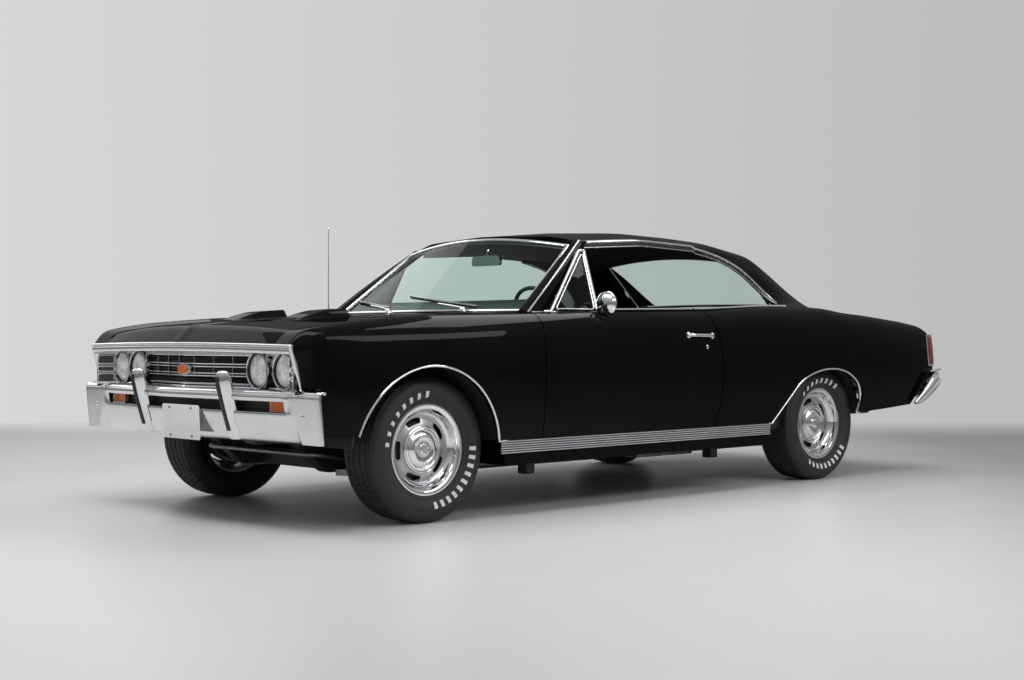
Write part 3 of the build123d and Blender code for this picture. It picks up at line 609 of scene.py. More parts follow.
def along_door_edge(places, gap):
    """The door's rear edge as stations and section places."""
    ys = np.full(len(places), 0.15)
    for _ in range(4):
        ys = door_edge_y(side_skin.points(ys, places)[:, 2], gap)
    return np.stack([ys, places], 1)


def fender_lower_edge():
    """Front to back: under the bumper, over the wheel opening, along the sill."""
    y, z, r = ARCH_FRONT
    start, end = math.asin(0.115 / r), math.asin(0.060 / r)
    turn = np.linspace(math.pi - start, end, 48)
    opening = np.stack([y + r * np.cos(turn), z + r * np.sin(turn)], 1)
    runs = (along([(-2.372, 0.604), (-2.330, 0.604)], 5), along([(-2.330, 0.604), (-2.330, 0.400)], 12)[1:],
            along([(-2.330, 0.400), opening[0]], 10)[1:-1], opening,
            along([opening[-1], (FENDER_REAR_Y, 0.345)], 12)[1:])
    return np.concatenate(runs)


def rear_lower_edge():
    """Front to back: sill, wheel opening, and the rise over the rear bumper."""
    arch = cubic(((0.650, 0.345), (0.775, 0.460), (0.900, 0.566), (1.040, 0.617), (1.190, 0.632),
                  (1.330, 0.612), (1.435, 0.560), (1.482, 0.500), (1.489, 0.440), (1.474, 0.374)),
                 np.linspace(0, 9, 64))
    first = along([(float(door_edge_y(0.346, GAP)), 0.346), arch[0]], 16)[:-1]
    runs = (first, arch, along([arch[-1], (2.080, 0.404)], 24)[1:],
            along([(2.080, 0.404), (2.298, 0.603)], 12)[1:], along([(2.298, 0.603), (TAIL_Y, 0.603)], 3)[1:])
    return np.concatenate(runs)


DOOR_TOP = 64.5      # section place of the door's inner top edge, beside the cabin trim
UPPER_PLACES = np.arange(SHOULDER, EDGE + 1.0)


NOSE_SHOULDER_Y, NOSE_CREST_Y, NOSE_EDGE_Y = -2.408, -2.418, -2.420    # where the fender's skin begins


def fender_part():
    bottom = side_edge(fender_lower_edge())
    rise = np.linspace(0, 1, 28)
    top_y = spread_over(bottom[:, 0], NOSE_SHOULDER_Y, FENDER_REAR_Y)
    top = spots(top_y, SHOULDER)
    front = np.stack([bottom[0, 0] + (NOSE_SHOULDER_Y - bottom[0, 0]) * rise,
                      bottom[0, 1] + (SHOULDER - bottom[0, 1]) * rise], 1)
    rear = spots(FENDER_REAR_Y, bottom[-1, 1] + (SHOULDER - bottom[-1, 1]) * rise)
    lower = side_skin.patch(bottom, top, front, rear)
    lean = np.interp(UPPER_PLACES, (SHOULDER, CREST, EDGE), (NOSE_SHOULDER_Y, NOSE_CREST_Y, NOSE_EDGE_Y))
    crown = spots(spread_over(bottom[:, 0], NOSE_EDGE_Y, FENDER_REAR_Y), EDGE)
    upper = side_skin.patch(top, crown, np.stack([lean, UPPER_PLACES], 1),
                            spots(FENDER_REAR_Y, UPPER_PLACES))
    return join_parts([sheet_part(lower), sheet_part(upper)])


def door_part():
    low, high = np.linspace(0, SHOULDER, 24), np.linspace(SHOULDER, DOOR_TOP, 22)
    found = []
    for places in (low, high):
        rear = along_door_edge(places, 0.0)
        front = spots(DOOR_FRONT_Y, places)
        bottom, top = (spots(np.linspace(DOOR_FRONT_Y, rear[k, 0], 64), places[k])
                       for k in (0, -1))
        found.append(sheet_part(side_skin.patch(bottom, top, front, rear)))
    return join_parts(found)


def quarter_top_place(y):
    """The quarter's inner edge: beside the cabin trim at the window, at the sail's foot behind it."""
    return np.interp(y, (0.80, 0.93), (DOOR_TOP, EDGE))


def quarter_part():
    """One rear quarter, from the door's rear edge to the tail."""
    bottom = side_edge(rear_lower_edge())
    columns = len(bottom)
    low = np.linspace(bottom[0, 1], SHOULDER, 24)
    front_low = along_door_edge(low, GAP)
    top_y = spread_over(bottom[:, 0], front_low[-1, 0], TAIL_Y)
    top = spots(top_y, SHOULDER)
    rise = np.linspace(0, 1, 24)
    rear = spots(TAIL_Y, bottom[-1, 1] + (SHOULDER - bottom[-1, 1]) * rise)
    lower = side_skin.patch(bottom, top, front_low, rear)
    high = np.linspace(SHOULDER, DOOR_TOP, 24)
    front_high = along_door_edge(high, GAP)
    crown = np.stack([top_y + (front_high[-1, 0] - front_low[-1, 0])
                      * (1 - (top_y - top_y[0]) / 2.2).clip(0, 1), np.zeros(columns)], 1)
    crown[:, 1] = quarter_top_place(crown[:, 0])
    crown[-1] = (TAIL_Y, EDGE)
    rear_high = spots(TAIL_Y, np.linspace(SHOULDER, EDGE, 24))
    upper = side_skin.patch(top, crown, front_high, rear_high)
    return join_parts([sheet_part(lower), sheet_part(upper)])


def header_y(x):
    """Station of the roof's front edge, bowed forward over the windshield."""
    return -0.628 + 0.098 * (x / 0.66) ** 2


def window_edge_z(y):
    """Height of the side window's upper rear edge, falling to the belt."""
    points = arc((0.300, 1.262), (0.610, 1.195), (0.885, 1.000), 40)
    return np.interp(y, points[:, 0], points[:, 1])


def header_line(place):
    x = 0.6
    for _ in range(4):
        x = float(roof_skin.points([header_y(x)], [place])[0, 0])
    return header_y(x)


ROOF_REAR_Y, SAIL_REAR_Y = 0.862, 1.580
DECK_HALF_W = 0.548


def roof_columns(first):
    return np.concatenate([np.linspace(first, 0.30, 34), np.linspace(0.30, ROOF_REAR_Y, 26)[1:],
                           np.linspace(ROOF_REAR_Y, SAIL_REAR_Y, 40)[1:]])


def deck_z(x):
    """Height of the fixed deck ahead of the trunk lid."""
    return 0.973 - 0.033 * (x / LID_HALF_W) ** 2


def roof_parts():
    """Left half: crown, sail side, sail inner wall."""
    def front_edge(places):
        return np.array([[header_line(p), p] for p in places])

    outer, inner = np.arange(DRIP, INNER + 1.0), np.arange(INNER, MIDDLE + 1.0)
    drip_y, inner_y = roof_columns(header_line(DRIP)), roof_columns(header_line(INNER))
    middle_y = roof_columns(header_line(MIDDLE))
    edge = spots(drip_y, DRIP)
    split = spots(inner_y, INNER)
    crown_a = roof_skin.patch(edge, split, front_edge(outer), spots(SAIL_REAR_Y, outer))
    main = 59
    middle = spots(middle_y[:main], MIDDLE)
    crown_b = roof_skin.patch(split[:main], middle, front_edge(inner),
                              spots(ROOF_REAR_Y, inner))
    # side of the sail, from the window's edge or the body up to the drip line
    side_y = drip_y[33:]
    low = np.where(side_y < 0.885, window_edge_z(side_y), 0.0)
    places = roof_skin.place(side_y, np.maximum(low, 0.5), DRIP)
    places[0] = DRIP
    places[side_y >= 0.885] = 0
    rise = np.linspace(0, 1, 24)[:, None]
    net_t = places[None] + (DRIP - places[None]) * rise
    net_y = np.broadcast_to(side_y, net_t.shape)
    sail = roof_skin.points(net_y, net_t).reshape(*net_t.shape, 3)
    foot = side_skin.points(side_y, quarter_top_place(side_y))
    own = roof_skin.points(side_y, np.zeros(len(side_y)))
    pull = (np.clip(1 - net_t / BEND, 0, 1)[..., None] ** 2
            * np.clip((side_y - 0.80) / 0.08, 0, 1)[None, :, None])
    sail = sail + (foot - own)[None] * pull
    # inner wall of the sail, down to the glass or the deck
    wall_y = inner_y[main - 1:]
    top = roof_skin.points(wall_y, np.full(len(wall_y), INNER))
    glass_z = 1.262 - (wall_y - 0.872) * (0.272 / 0.306)
    low_z = np.where(wall_y < 1.185, np.maximum(glass_z - 0.02, 0.945), deck_z(DECK_HALF_W) - 0.004)
    low_z = np.minimum(low_z, top[:, 2] - 0.001)
    base = spots(DECK_HALF_W, wall_y, low_z)
    share = np.linspace(0, 1, 10)[:, None, None]
    wall = top[None] + (base - top)[None] * share
    return [sheet_part(crown_a), sheet_part(crown_b), sheet_part(sail), sheet_part(wall)]


def deck_part():
    """Fixed deck between the sails, from the rear glass to the trunk lid."""
    xs, ys = np.linspace(-DECK_HALF_W, DECK_HALF_W, 30), np.linspace(1.165, SAIL_REAR_Y, 18)
    return sheet_part([[(x, y, deck_z(x)) for x in xs] for y in ys])


def settings():
    return bpy.context.scene.car


def painted(name, part, body, *nodes, wall=None, **shading):
    """A painted panel: its sheet given a wall and soft edges, riding on its body."""
    panel = mesh_object(name, *part, finish("paint"), **shading)
    thicken(panel, wall or settings().panels.wall)
    bevel(panel, settings().panels.edge)
    return fit(panel, body, "paint", *nodes)


class CAR_OT_shell(bpy.types.Operator):
    """Roof, sails, rear quarters and fixed deck in one welded skin"""

    bl_idname = "car.shell"
    bl_label = "Roof and quarters"

    def execute(self, context):
        half = join_parts([quarter_part(), *roof_parts()])
        painted("body_shell", join_parts([half, mirrored(half), deck_part()]), "car", "roof", "quarter_left",
                "quarter_right", smooth_deg=38, weld=4e-4)
        return {"FINISHED"}


class CAR_OT_fenders(bpy.types.Operator):
    """Front fenders with their wheel openings"""

    bl_idname = "car.fenders"
    bl_label = "Front fenders"

    def execute(self, context):
        left = fender_part()
        for side, part in (("left", left), ("right", mirrored(left))):
            painted(f"fender_{side}_skin", part, "car", f"fender_{side}")
        return {"FINISHED"}


class CAR_OT_doors(bpy.types.Operator):
    """Door skins"""

    bl_idname = "car.doors"
    bl_label = "Doors"

    def execute(self, context):
        left = door_part()
        for side, part in (("left", left), ("right", mirrored(left))):
            painted(f"door_{side}_skin", part, f"door_{side}", f"door_{side}")
        return {"FINISHED"}


def soft_step(x, low, high):
    f = np.clip((x - low) / (high - low), 0, 1)
    return f * f * (3 - 2 * f)


def hood_z(x, y):
    """Height of the hood's skin, with its centre crease and the two low scoops."""
    edge, middle = hood_edge.at(np.ravel(y))[:, 0], hood_middle.at(np.ravel(y))[:, 0]
    edge, middle = edge.reshape(np.shape(y)), middle.reshape(np.shape(y))
    z = edge + (middle - edge) * (1 - np.abs(x / HOOD_HALF_W) ** 2.4)
    z = z + 0.0045 * np.exp(-(x / 0.035) ** 2) * soft_step(-y, 1.45, 1.75)
    across = soft_step(np.abs(x), 0.150, 0.185) * (1 - soft_step(np.abs(x), 0.312, 0.345))
    rise = soft_step(y, -2.08, -1.85) * (y < -1.7499)
    return z + 0.034 * across * rise


class CAR_OT_hood(bpy.types.Operator):
    """Hood with its nose lip, centre crease and twin scoops"""

    bl_idname = "car.hood"
    bl_label = "Hood"

    def execute(self, context):
        xs = np.unique(np.round(np.concatenate([np.linspace(-0.693, 0.693, 57), np.linspace(0.15, 0.345, 19),
                                                -np.linspace(0.15, 0.345, 19), np.linspace(-0.08, 0.08, 15)]),
                                 4))
        ys = np.unique(np.round(np.concatenate([np.linspace(-2.446, -2.25, 30), np.linspace(-2.25, -1.20, 56),
                                                (-1.7500, -1.7495)]), 5))
        x, y = np.meshgrid(xs, ys)
        bow = 0.026 * (x / HOOD_HALF_W) ** 2 * np.clip((-2.2 - y) / 0.2, 0, 1)
        net = np.stack([x, y + bow, hood_z(x, y)], -1)
        painted("hood_skin", sheet_part(net), "hood", "hood", wall=LID_WALL, weld=0)
        return {"FINISHED"}


class CAR_OT_trunk_lid(bpy.types.Operator):
    """Trunk lid"""

    bl_idname = "car.trunk_lid"
    bl_label = "Trunk lid"

    def execute(self, context):
        x, y = np.meshgrid(np.linspace(-LID_HALF_W, LID_HALF_W, 49), np.linspace(1.587, 2.305, 40))
        edge, middle = (t.at(np.ravel(y))[:, 0].reshape(y.shape) for t in (lid_edge, lid_middle))
        z = edge + (middle - edge) * (1 - np.abs(x / LID_HALF_W) ** 2.2)
        painted("trunk_lid_skin", sheet_part(np.stack([x, y, z], -1)), "trunk_lid", "trunk_lid",
                wall=LID_WALL, weld=0)
        return {"FINISHED"}


# ---------------------------------------------------------------- patterns
def socket_of(group, name, kind, default=None):
    socket = group.interface.new_socket(name=name, in_out="INPUT", socket_type=kind)
    if default is not None:
        socket.default_value = default


def pattern_tree(name, ring):
    """Copies one item along a straight row, or round a ring about X, and makes the copies real."""
    group = bpy.data.node_groups.new(name, "GeometryNodeTree")
    group.interface.new_socket(name="Geometry", in_out="INPUT", socket_type="NodeSocketGeometry")
    socket_of(group, "Count", "NodeSocketInt", 5)
    socket_of(group, "Centre" if ring else "Start", "NodeSocketVector")
    socket_of(group, "Turn" if ring else "Step", "NodeSocketFloat" if ring else "NodeSocketVector")
    socket_of(group, "Material", "NodeSocketMaterial")
    group.interface.new_socket(name="Geometry", in_out="OUTPUT", socket_type="NodeSocketGeometry")
    nodes, links = group.nodes, group.links
    given, out = nodes.new("NodeGroupInput"), nodes.new("NodeGroupOutput")
    line, copies = nodes.new("GeometryNodeMeshLine"), nodes.new("GeometryNodeInstanceOnPoints")
    real, dress = nodes.new("GeometryNodeRealizeInstances"), nodes.new("GeometryNodeSetMaterial")
    line.mode = "OFFSET"
    links.new(given.outputs["Count"], line.inputs["Count"])
    links.new(line.outputs["Mesh"], copies.inputs["Points"])
    links.new(given.outputs["Geometry"], copies.inputs["Instance"])
    if ring:
        line.inputs["Offset"].default_value = (0, 0, 0)
        index, angle = nodes.new("GeometryNodeInputIndex"), nodes.new("ShaderNodeMath")
        turn = nodes.new("ShaderNodeCombineXYZ")
        angle.operation = "MULTIPLY"
        links.new(index.outputs["Index"], angle.inputs[0])
        links.new(given.outputs["Turn"], angle.inputs[1])
        links.new(angle.outputs["Value"], turn.inputs["X"])
        links.new(turn.outputs["Vector"], copies.inputs["Rotation"])
        links.new(given.outputs["Centre"], line.inputs["Start Location"])
    else:
        links.new(given.outputs["Start"], line.inputs["Start Location"])
        links.new(given.outputs["Step"], line.inputs["Offset"])
    links.new(copies.outputs["Instances"], real.inputs["Geometry"])
    links.new(real.outputs["Geometry"], dress.inputs["Geometry"])
    links.new(given.outputs["Material"], dress.inputs["Material"])
    links.new(dress.outputs["Geometry"], out.inputs["Geometry"])
    return group


TREES = {}


def repeated(name, item, count, place, step, material, ring=False, smooth_deg=30):
    """An item's copies as one plain mesh object."""
    if ring not in TREES:
        TREES[ring] = pattern_tree("ring_of_items" if ring else "row_of_items", ring)
    piece = mesh_object(name, *item, material, smooth_deg, weld=0)
    m = piece.modifiers.new("pattern", "NODES")
    m.node_group = TREES[ring]
    given = {"Count": count, "Material": material, ("Centre" if ring else "Start"): place,
             ("Turn" if ring else "Step"): step}
    for socket in TREES[ring].interface.items_tree:
        if socket.in_out == "INPUT" and socket.name in given:
            m[socket.identifier] = given[socket.name]
    bpy.context.view_layer.update()
    copies = bpy.data.meshes.new_from_object(piece.evaluated_get(bpy.context.evaluated_depsgraph_get()))
    piece.modifiers.clear()
    piece.data = copies
    finish_mesh(copies, smooth_deg)
    return piece


def rounded(points, radius, steps=5):
    """A closed outline in a plane with its corners rounded."""
    points = np.asarray(points, float)
    found = []
    for k, corner in enumerate(points):
        before, after = points[k - 1] - corner, points[(k + 1) % len(points)] - corner
        reach = min(radius, np.linalg.norm(before) * 0.45, np.linalg.norm(after) * 0.45)
        a = corner + before / np.linalg.norm(before) * reach
        b = corner + after / np.linalg.norm(after) * reach
        for f in np.linspace(0, 1, steps + 1):
            found.append((1 - f) ** 2 * a + 2 * f * (1 - f) * corner + f * f * b)
    return np.array(found)


def rounded_box(left, low, right, high, radius, steps=5):
    """The outline of a level rectangle with its corners rounded."""
    return rounded([(left, low), (right, low), (right, high), (left, high)], radius, steps)


def slab_part(outline, height, base=(0, 0, 0)):
    """A flat plate with a soft edge: an outline of 3D points and the vector from its base to its top."""
    outline, base, height = np.asarray(outline, float), np.asarray(base, float), np.asarray(height, float)
    middle = outline.mean(0)
    rings = [outline + base, outline + base + height * 0.75,
             middle + (outline - middle) * 0.985 + base + height]
    count = len(outline)
    points = np.concatenate(rings)
    faces = grid_faces(3, count, wrap=True)
    faces += [tuple(range(2 * count, 3 * count)), tuple(reversed(range(count)))]
    return points, faces


def both_sides(part):
    return join_parts([part, mirrored(part)])


def walled(name, part, thickness, finish_name, slot, *nodes, smooth_deg=40):
    """An open sheet given its wall, riding on the body."""
    piece = mesh_object(name, *part, finish(finish_name), smooth_deg)
    return fit(thicken(piece, thickness), "car", slot, *nodes)


def made(name, part, finish_name, body="car", slot="chrome", nodes=(), smooth_deg=40, edge=0.0):
    """A closed piece from its points and faces: normals out, edges softened, riding on its body."""
    piece = mesh_object(name, *part, finish(finish_name), smooth_deg)
    face_outwards(piece)
    if edge:
        bevel(piece, edge)
    return fit(piece, body, slot, *nodes)


# ---------------------------------------------------------------- front end
def strip_y(x):
    return -2.446 + 0.0285 * (np.asarray(x) / 0.815) ** 2


def recess_y(x):
    """Depth of the panel behind lamps and grille: a shallow V between the lamps."""
    return np.interp(np.abs(x), (0, 0.415, 0.58, 0.70, 0.72, 0.800, 0.825),
                     (-2.386, -2.322, -2.322, -2.322, -2.340, -2.384, -2.398))


LAMP_X = (0.495, 0.670)
LAMP_Y = {0.495: -2.345, 0.670: -2.3325}
LAMP_Z = 0.670


def ring_item(profile, x, y, z, count=64):
    return revolve_part(profile, count, axis="Y", centre=(x, y, z), closed=True)


class CAR_OT_nose(bpy.types.Operator):
    """Bright nose strip, satin panel, recess and the louvred ends beside the lamps"""

    bl_idname = "car.nose"
    bl_label = "Nose frame"

    def execute(self, context):
        x = np.linspace(-0.817, 0.817, 61)
        path = np.stack([x, strip_y(x), 0.784 - 0.009 * (x / 0.815) ** 2], 1)
        upper = [(-0.004, -0.02), (-0.004, 0.001), (-0.001, 0.005), (0.004, 0.006), (0.008, 0.004),
                 (0.0095, -0.001), (0.0115, -0.001), (0.013, 0.003), (0.017, 0.0045), (0.033, 0.003),
                 (0.0365, -0.001), (0.0365, -0.02)]
        parts = [sweep_part(path, (0, -1, 0), upper)]
        # posts down the outer ends
        z = np.linspace(0.776, 0.586, 24)
        lean = (0.775 - z) / 0.187
        post = np.stack([0.815 + 0.0075 * lean, -2.4175 + 0.050 * lean, z], 1)
        edge = [(-0.010, -0.03), (-0.010, 0.002), (-0.006, 0.005), (0.004, 0.005), (0.008, 0.001),
                (0.008, -0.03)]
        parts.append(both_sides(sweep_part(post, (0.15, -1, 0), edge)))
        # lower rail
        x = np.linspace(-0.822, 0.822, 61)
        rail = spots(x, recess_y(x) - 0.016, 0.5925)
        parts.append(sweep_part(rail, (0, -1, 0), [(-0.005, -0.02), (-0.005, 0.002), (0, 0.005),
                                                   (0.005, 0.002), (0.005, -0.02)]))
        made("nose_strip", join_parts(parts), "chrome", nodes=("grille_surround",), smooth_deg=50)
        x = np.linspace(-0.812, 0.812, 81)
        rows = [spots(x, strip_y(x) + 0.010, 0.748),
                spots(x, recess_y(x) - 0.020, 0.747),
                spots(x, recess_y(x) - 0.018, 0.732),
                spots(x, recess_y(x) + 0.004, 0.730)]
        walled("nose_panel", sheet_part(rows), 0.002, "satin_bright", "trim_bright", smooth_deg=25)
        # satin plates: between the lamps and beside them
        plates = []
        for a, b, low in ((0.562, 0.604, 0.640), (0.722, 0.812, 0.590)):
            corners = [(a, low), (b, low), (b, 0.733), (a, 0.733)]
            plates.append(slab_part([(px, float(recess_y(px)) - 0.002, pz) for px, pz in corners],
                                    (0, -0.006, 0), base=(0, 0.004, 0)))
        made("lamp_plates", both_sides(join_parts(plates)), "satin_bright", slot="trim_bright")
        darks, rims = [], []
        for low, high in ((0.684, 0.722), (0.647, 0.668), (0.594, 0.634)):
            flat = rounded([(0.728, low), (0.806, low), (0.803, high), (0.728, high)], 0.006)
            outline = np.array([(px, float(recess_y(px)) - 0.0065, pz) for px, pz in flat])
            darks.append(slab_part(outline, (0, -0.003, 0), base=(0, 0.002, 0)))
            rims.append(sweep_part(outline + (0, -0.002, 0), (0, -1, 0), half_round(0.0045, 0.004, 4),
                                   closed=True))
        made("louvre_fields", both_sides(join_parts(darks)), "charcoal", slot="grille_black")
        made("louvre_rims", both_sides(join_parts(rims)), "chrome", smooth_deg=60)
        x = np.linspace(-0.822, 0.822, 81)
        back = [spots(x, recess_y(x) + 0.006, h) for h in (0.745, 0.66, 0.575)]
        walled("nose_backing", sheet_part(back), 0.003, "grille_black", "grille_black", smooth_deg=25)
        return {"FINISHED"}


class CAR_OT_grille(bpy.types.Operator):
    """Black V-shaped grille with bright bars and a plain boss at its middle"""

    bl_idname = "car.grille"
    bl_label = "Grille"

    def execute(self, context):
        def run(z, width, height):
            x = np.linspace(-0.412, 0.412, 41)
            path = spots(x, recess_y(x) - 0.014, z)
            return sweep_part(path, (0, -1, 0.45), half_round(width, height))

        bars = [run(z, w, 0.007) for z, w in ((0.729, 0.006), (0.693, 0.008), (0.680, 0.007), (0.652, 0.007),
                                              (0.640, 0.007), (0.607, 0.010))]
        made("grille_bars", join_parts(bars), "chrome", nodes=("grille",), smooth_deg=60)
        fins = [run(z, 0.003, 0.003) for z in (0.717, 0.705, 0.668, 0.626, 0.619)]
        made("grille_fins", join_parts(fins), "grille_black", slot="grille_black", smooth_deg=60)
        pitch = 0.124
        item = box_part((-0.0024, -0.020, 0.634), (0.0024, 0.004, 0.733))
        for side, sign in (("left", 1), ("right", -1)):
            start = (sign * pitch / 2, -2.386 + 0.155 * pitch / 2, 0)
            verticals = repeated(f"grille_uprights_{side}", item, 4, start,
                                 (sign * pitch, 0.155 * pitch, 0), finish("satin_bright"))
            fit(verticals, "car", "trim_bright")
        grid_x = np.linspace(-0.413, 0.413, 31)
        field = [spots(grid_x, recess_y(grid_x) + 0.001, h) for h in (0.742, 0.67, 0.598)]
        walled("grille_field", sheet_part(field), 0.003, "grille_black", "grille_black")
        oval = [(0.050 * math.cos(t), 0, 0.668 + 0.026 * math.sin(t)) for t in full_turn(40)]
        lens = [slab_part(oval, (0, -0.012, 0), base=(0, -2.402, 0)),
                slab_part([(0.82 * px, 0, 0.668 + 0.78 * (pz - 0.668)) for px, _, pz in oval], (0, -0.007, 0),
                           base=(0, -2.412, 0))]
        made("grille_boss", lens[0], "chrome", smooth_deg=50, edge=0.0015)
        made("grille_boss_enamel", lens[1], "amber_lens", slot="lamp_amber", smooth_deg=50, edge=0.0015)
        return {"FINISHED"}


class CAR_OT_headlamps(bpy.types.Operator):
    """Four round lamps: bezel, reflector bowl and patterned lens"""

    bl_idname = "car.headlamps"
    bl_label = "Headlamps"

    def execute(self, context):
        bezel = [(0.026, 0.0795), (-0.010, 0.0810), (-0.0155, 0.0795), (-0.0165, 0.0765), (-0.0135, 0.0735),
                 (-0.0150, 0.0725), (-0.0140, 0.0700), (-0.0030, 0.0690), (0.000, 0.0680), (0.026, 0.0680)]
        bowl = [(0.0005, 0.0685), (0.010, 0.062), (0.022, 0.050), (0.032, 0.034), (0.036, 0.016),
                (0.037, 0.002), (0.039, 0.002), (0.038, 0.020), (0.034, 0.038), (0.024, 0.054),
                (0.011, 0.067), (0.001, 0.071)]
        seal = [(-0.0125, 0.0738), (-0.0155, 0.0725), (-0.0120, 0.0670), (-0.0020, 0.0668), (-0.0020, 0.0738)]
        lens = [(-0.0020, 0.0675), (-0.0060, 0.0600), (-0.0095, 0.0400), (-0.0115, 0.0200), (-0.0120, 0.0015),
                (-0.0090, 0.0015), (-0.0085, 0.0200), (-0.0065, 0.0400), (-0.0030, 0.0600), (0.0010, 0.0670)]
        for name, profile, finish_name in (("lamp_bezels", bezel, "chrome"),
                                           ("lamp_reflectors", bowl, "reflector"),
                                           ("lamp_seals", seal, "black_rubber"),
                                           ("lamp_lenses", lens, "lamp_glass")):
            parts = [ring_item(profile, x, LAMP_Y[x], LAMP_Z) for x in LAMP_X]
            slot = "lamp_clear" if name == "lamp_lenses" else "chrome"
            made(name, both_sides(join_parts(parts)), finish_name, slot=slot, smooth_deg=35,
                 nodes=("headlamps",) if name == "lamp_lenses" else ())
        return {"FINISHED"}


def blade_y(x):
    """Front line of the bumper in plan."""
    x = np.abs(x)
    return np.where(x < 0.75, -2.428 + 0.043 * (x / 0.75) ** 2, -2.385 + 0.004 * (x - 0.75) / 0.2)


BUMPER_ROWS = (       # setback from the blade's line, and height
    (0.078, 0.5760), (0.050, 0.5830), (0.028, 0.5870), (0.012, 0.5865), (0.004, 0.5820), (0.0005, 0.5755),
    (0.003, 0.5715), (0.0005, 0.5680), (-0.001, 0.5600), (0.001, 0.5520), (0.006, 0.5465),
    (0.014, 0.4975), (0.0125, 0.4900), (0.018, 0.4700), (0.025, 0.4450), (0.033, 0.4180), (0.042, 0.3920),
    (0.050, 0.3800), (0.066, 0.3740))


class CAR_OT_front_bumper(bpy.types.Operator):
    """Chrome front bumper: blade, slot, apron, end plates, guards, lamps and blank plate"""

    bl_idname = "car.front_bumper"
    bl_label = "Front bumper"

    def execute(self, context):
        rows = np.array(BUMPER_ROWS)
        slot_row = 10
        half = np.concatenate([np.linspace(0, 0.70, 24), np.linspace(0.715, 0.938, 22),
                               (0.946, 0.951, 0.954, 0.955)])
        end_turn = {0.946: 0.001, 0.951: 0.003, 0.954: 0.008, 0.955: 0.016}
        net = np.zeros((len(rows), len(half), 3))
        for r, (back, z) in enumerate(rows):
            crease = 0.720 + (0.585 - z) * 0.41
            for c, x in enumerate(half):
                y = float(blade_y(x)) + back
                flat = -2.383 + (0.585 - z) * 0.09
                share = float(soft_step(x, crease - 0.006, crease + 0.03))
                y = y * (1 - share) + (flat + min(back, 0.03) * (back < 0.08) * (z > 0.57)) * share
                y -= 0.0045 * math.exp(-((x - crease) / 0.006) ** 2) * (z < 0.56)
                turn = end_turn.get(round(float(x), 3), 0.0)
                net[r, c] = (x, y + turn, z)
        points, faces = sheet_part(net)
        columns = len(half)
        kept = []
        for f in faces:
            r, c = divmod(min(f), columns)
            edge = 0.722 + 0.028 * (r > slot_row)
            if r == slot_row and half[c] < edge - 0.004:
                continue
            kept.append(f)
        bumper = mesh_object("bumper_front_shell", *both_sides((points, kept)), finish("chrome"), 50)
        thicken(bumper, 0.004)
        bevel(bumper, 0.0012, angle=50)
        fit(bumper, "car", "chrome", "bumper_front")
        # guards
        line = np.array([(0.372, -2.386, -2.350, 0.028), (0.380, -2.394, -2.352, 0.041),
                         (0.420, -2.408, -2.362, 0.045), (0.500, -2.433, -2.385, 0.045),
                         (0.600, -2.460, -2.410, 0.045), (0.635, -2.4635, -2.420, 0.044),
                         (0.655, -2.460, -2.428, 0.039), (0.6655, -2.452, -2.432, 0.030),
                         (0.669, -2.444, -2.436, 0.014)])
        stations = cubic(line, np.linspace(0, len(line) - 1, 41))
        shape = rounded([(-1, 0), (-0.95, 0.35), (-0.42, 1.0), (0.42, 1.0), (0.95, 0.35), (1, 0)], 0.30, 4)
        net = np.array([[(0.355 + w * a, yb + (yf - yb) * b, z) for a, b in shape]
                        for z, yf, yb, w in stations])
        count = net.shape[1]
        guard = (net.reshape(-1, 3), closed_faces(len(stations), count))
        made("bumper_guards", both_sides(guard), "chrome", smooth_deg=50)
        zs = np.linspace(0.413, 0.640, 24)
        fronts = np.interp(zs, line[:, 0], line[:, 1])
        pad = spots(0.355, fronts + 0.0005, zs)
        strip = sweep_part(pad, (0, -1, 0), half_round(0.028, 0.0075))
        made("guard_strips", both_sides(strip), "black_rubber", slot="grille_black", smooth_deg=50,
             edge=0.001)
        # bolts
        bolts = [ring_item([(0.004, 0.0), (0.004, 0.010), (-0.001, 0.010), (-0.004, 0.007), (-0.005, 0.0)],
                           x, float(blade_y(x)) + off, z, 20) for x, z, off in ((0.850, 0.488, 0.002),)]
        made("bumper_bolts", both_sides(join_parts(bolts)), "chrome", smooth_deg=40)
        # parking lamps in the slot's ends
        face = rounded([(0.602, 0.499), (0.742, 0.499), (0.730, 0.541), (0.602, 0.541)], 0.005)
        lamp = slab_part([(px, float(blade_y(px)), pz) for px, pz in face], (0, -0.022, 0),
                         base=(0, 0.056, 0))
        made("parking_lenses", both_sides(lamp), "amber_lens", slot="lamp_amber", nodes=("parking_lamps",),
             edge=0.002)
        rim = sweep_part(np.array([(px, float(blade_y(px)) + 0.036, pz) for px, pz in face]), (0, -1, 0),
                         half_round(0.004, 0.003, 4), closed=True)
        made("parking_rims", both_sides(rim), "chrome", smooth_deg=60)
        x = np.linspace(-0.745, 0.745, 41)
        dark = [spots(x, blade_y(x) + 0.062, h) for h in (0.574, 0.53, 0.45, 0.39)]
        walled("slot_shadow_panel", sheet_part(dark), 0.003, "chassis_black", "chassis")
        plate = rounded_box(-PLATE_HALF_W, 0.361, PLATE_HALF_W, 0.513, 0.012)
        board = slab_part([(px, -2.430 + (0.513 - pz) * 0.05, pz) for px, pz in plate], (0, -0.003, 0),
                          base=(0, 0.003, 0))
        made("blank_plate", board, "plate_white", slot="paint", smooth_deg=30)
        screws = [ring_item([(0.002, 0.0), (0.002, 0.005), (-0.002, 0.005), (-0.003, 0.0)], px,
                            -2.432 + (0.513 - pz) * 0.05, pz, 14) for px in (-0.089, 0.089)
                  for pz in (0.499, 0.375)]
        made("plate_screws", join_parts(screws), "steel", slot="steel")
        return {"FINISHED"}


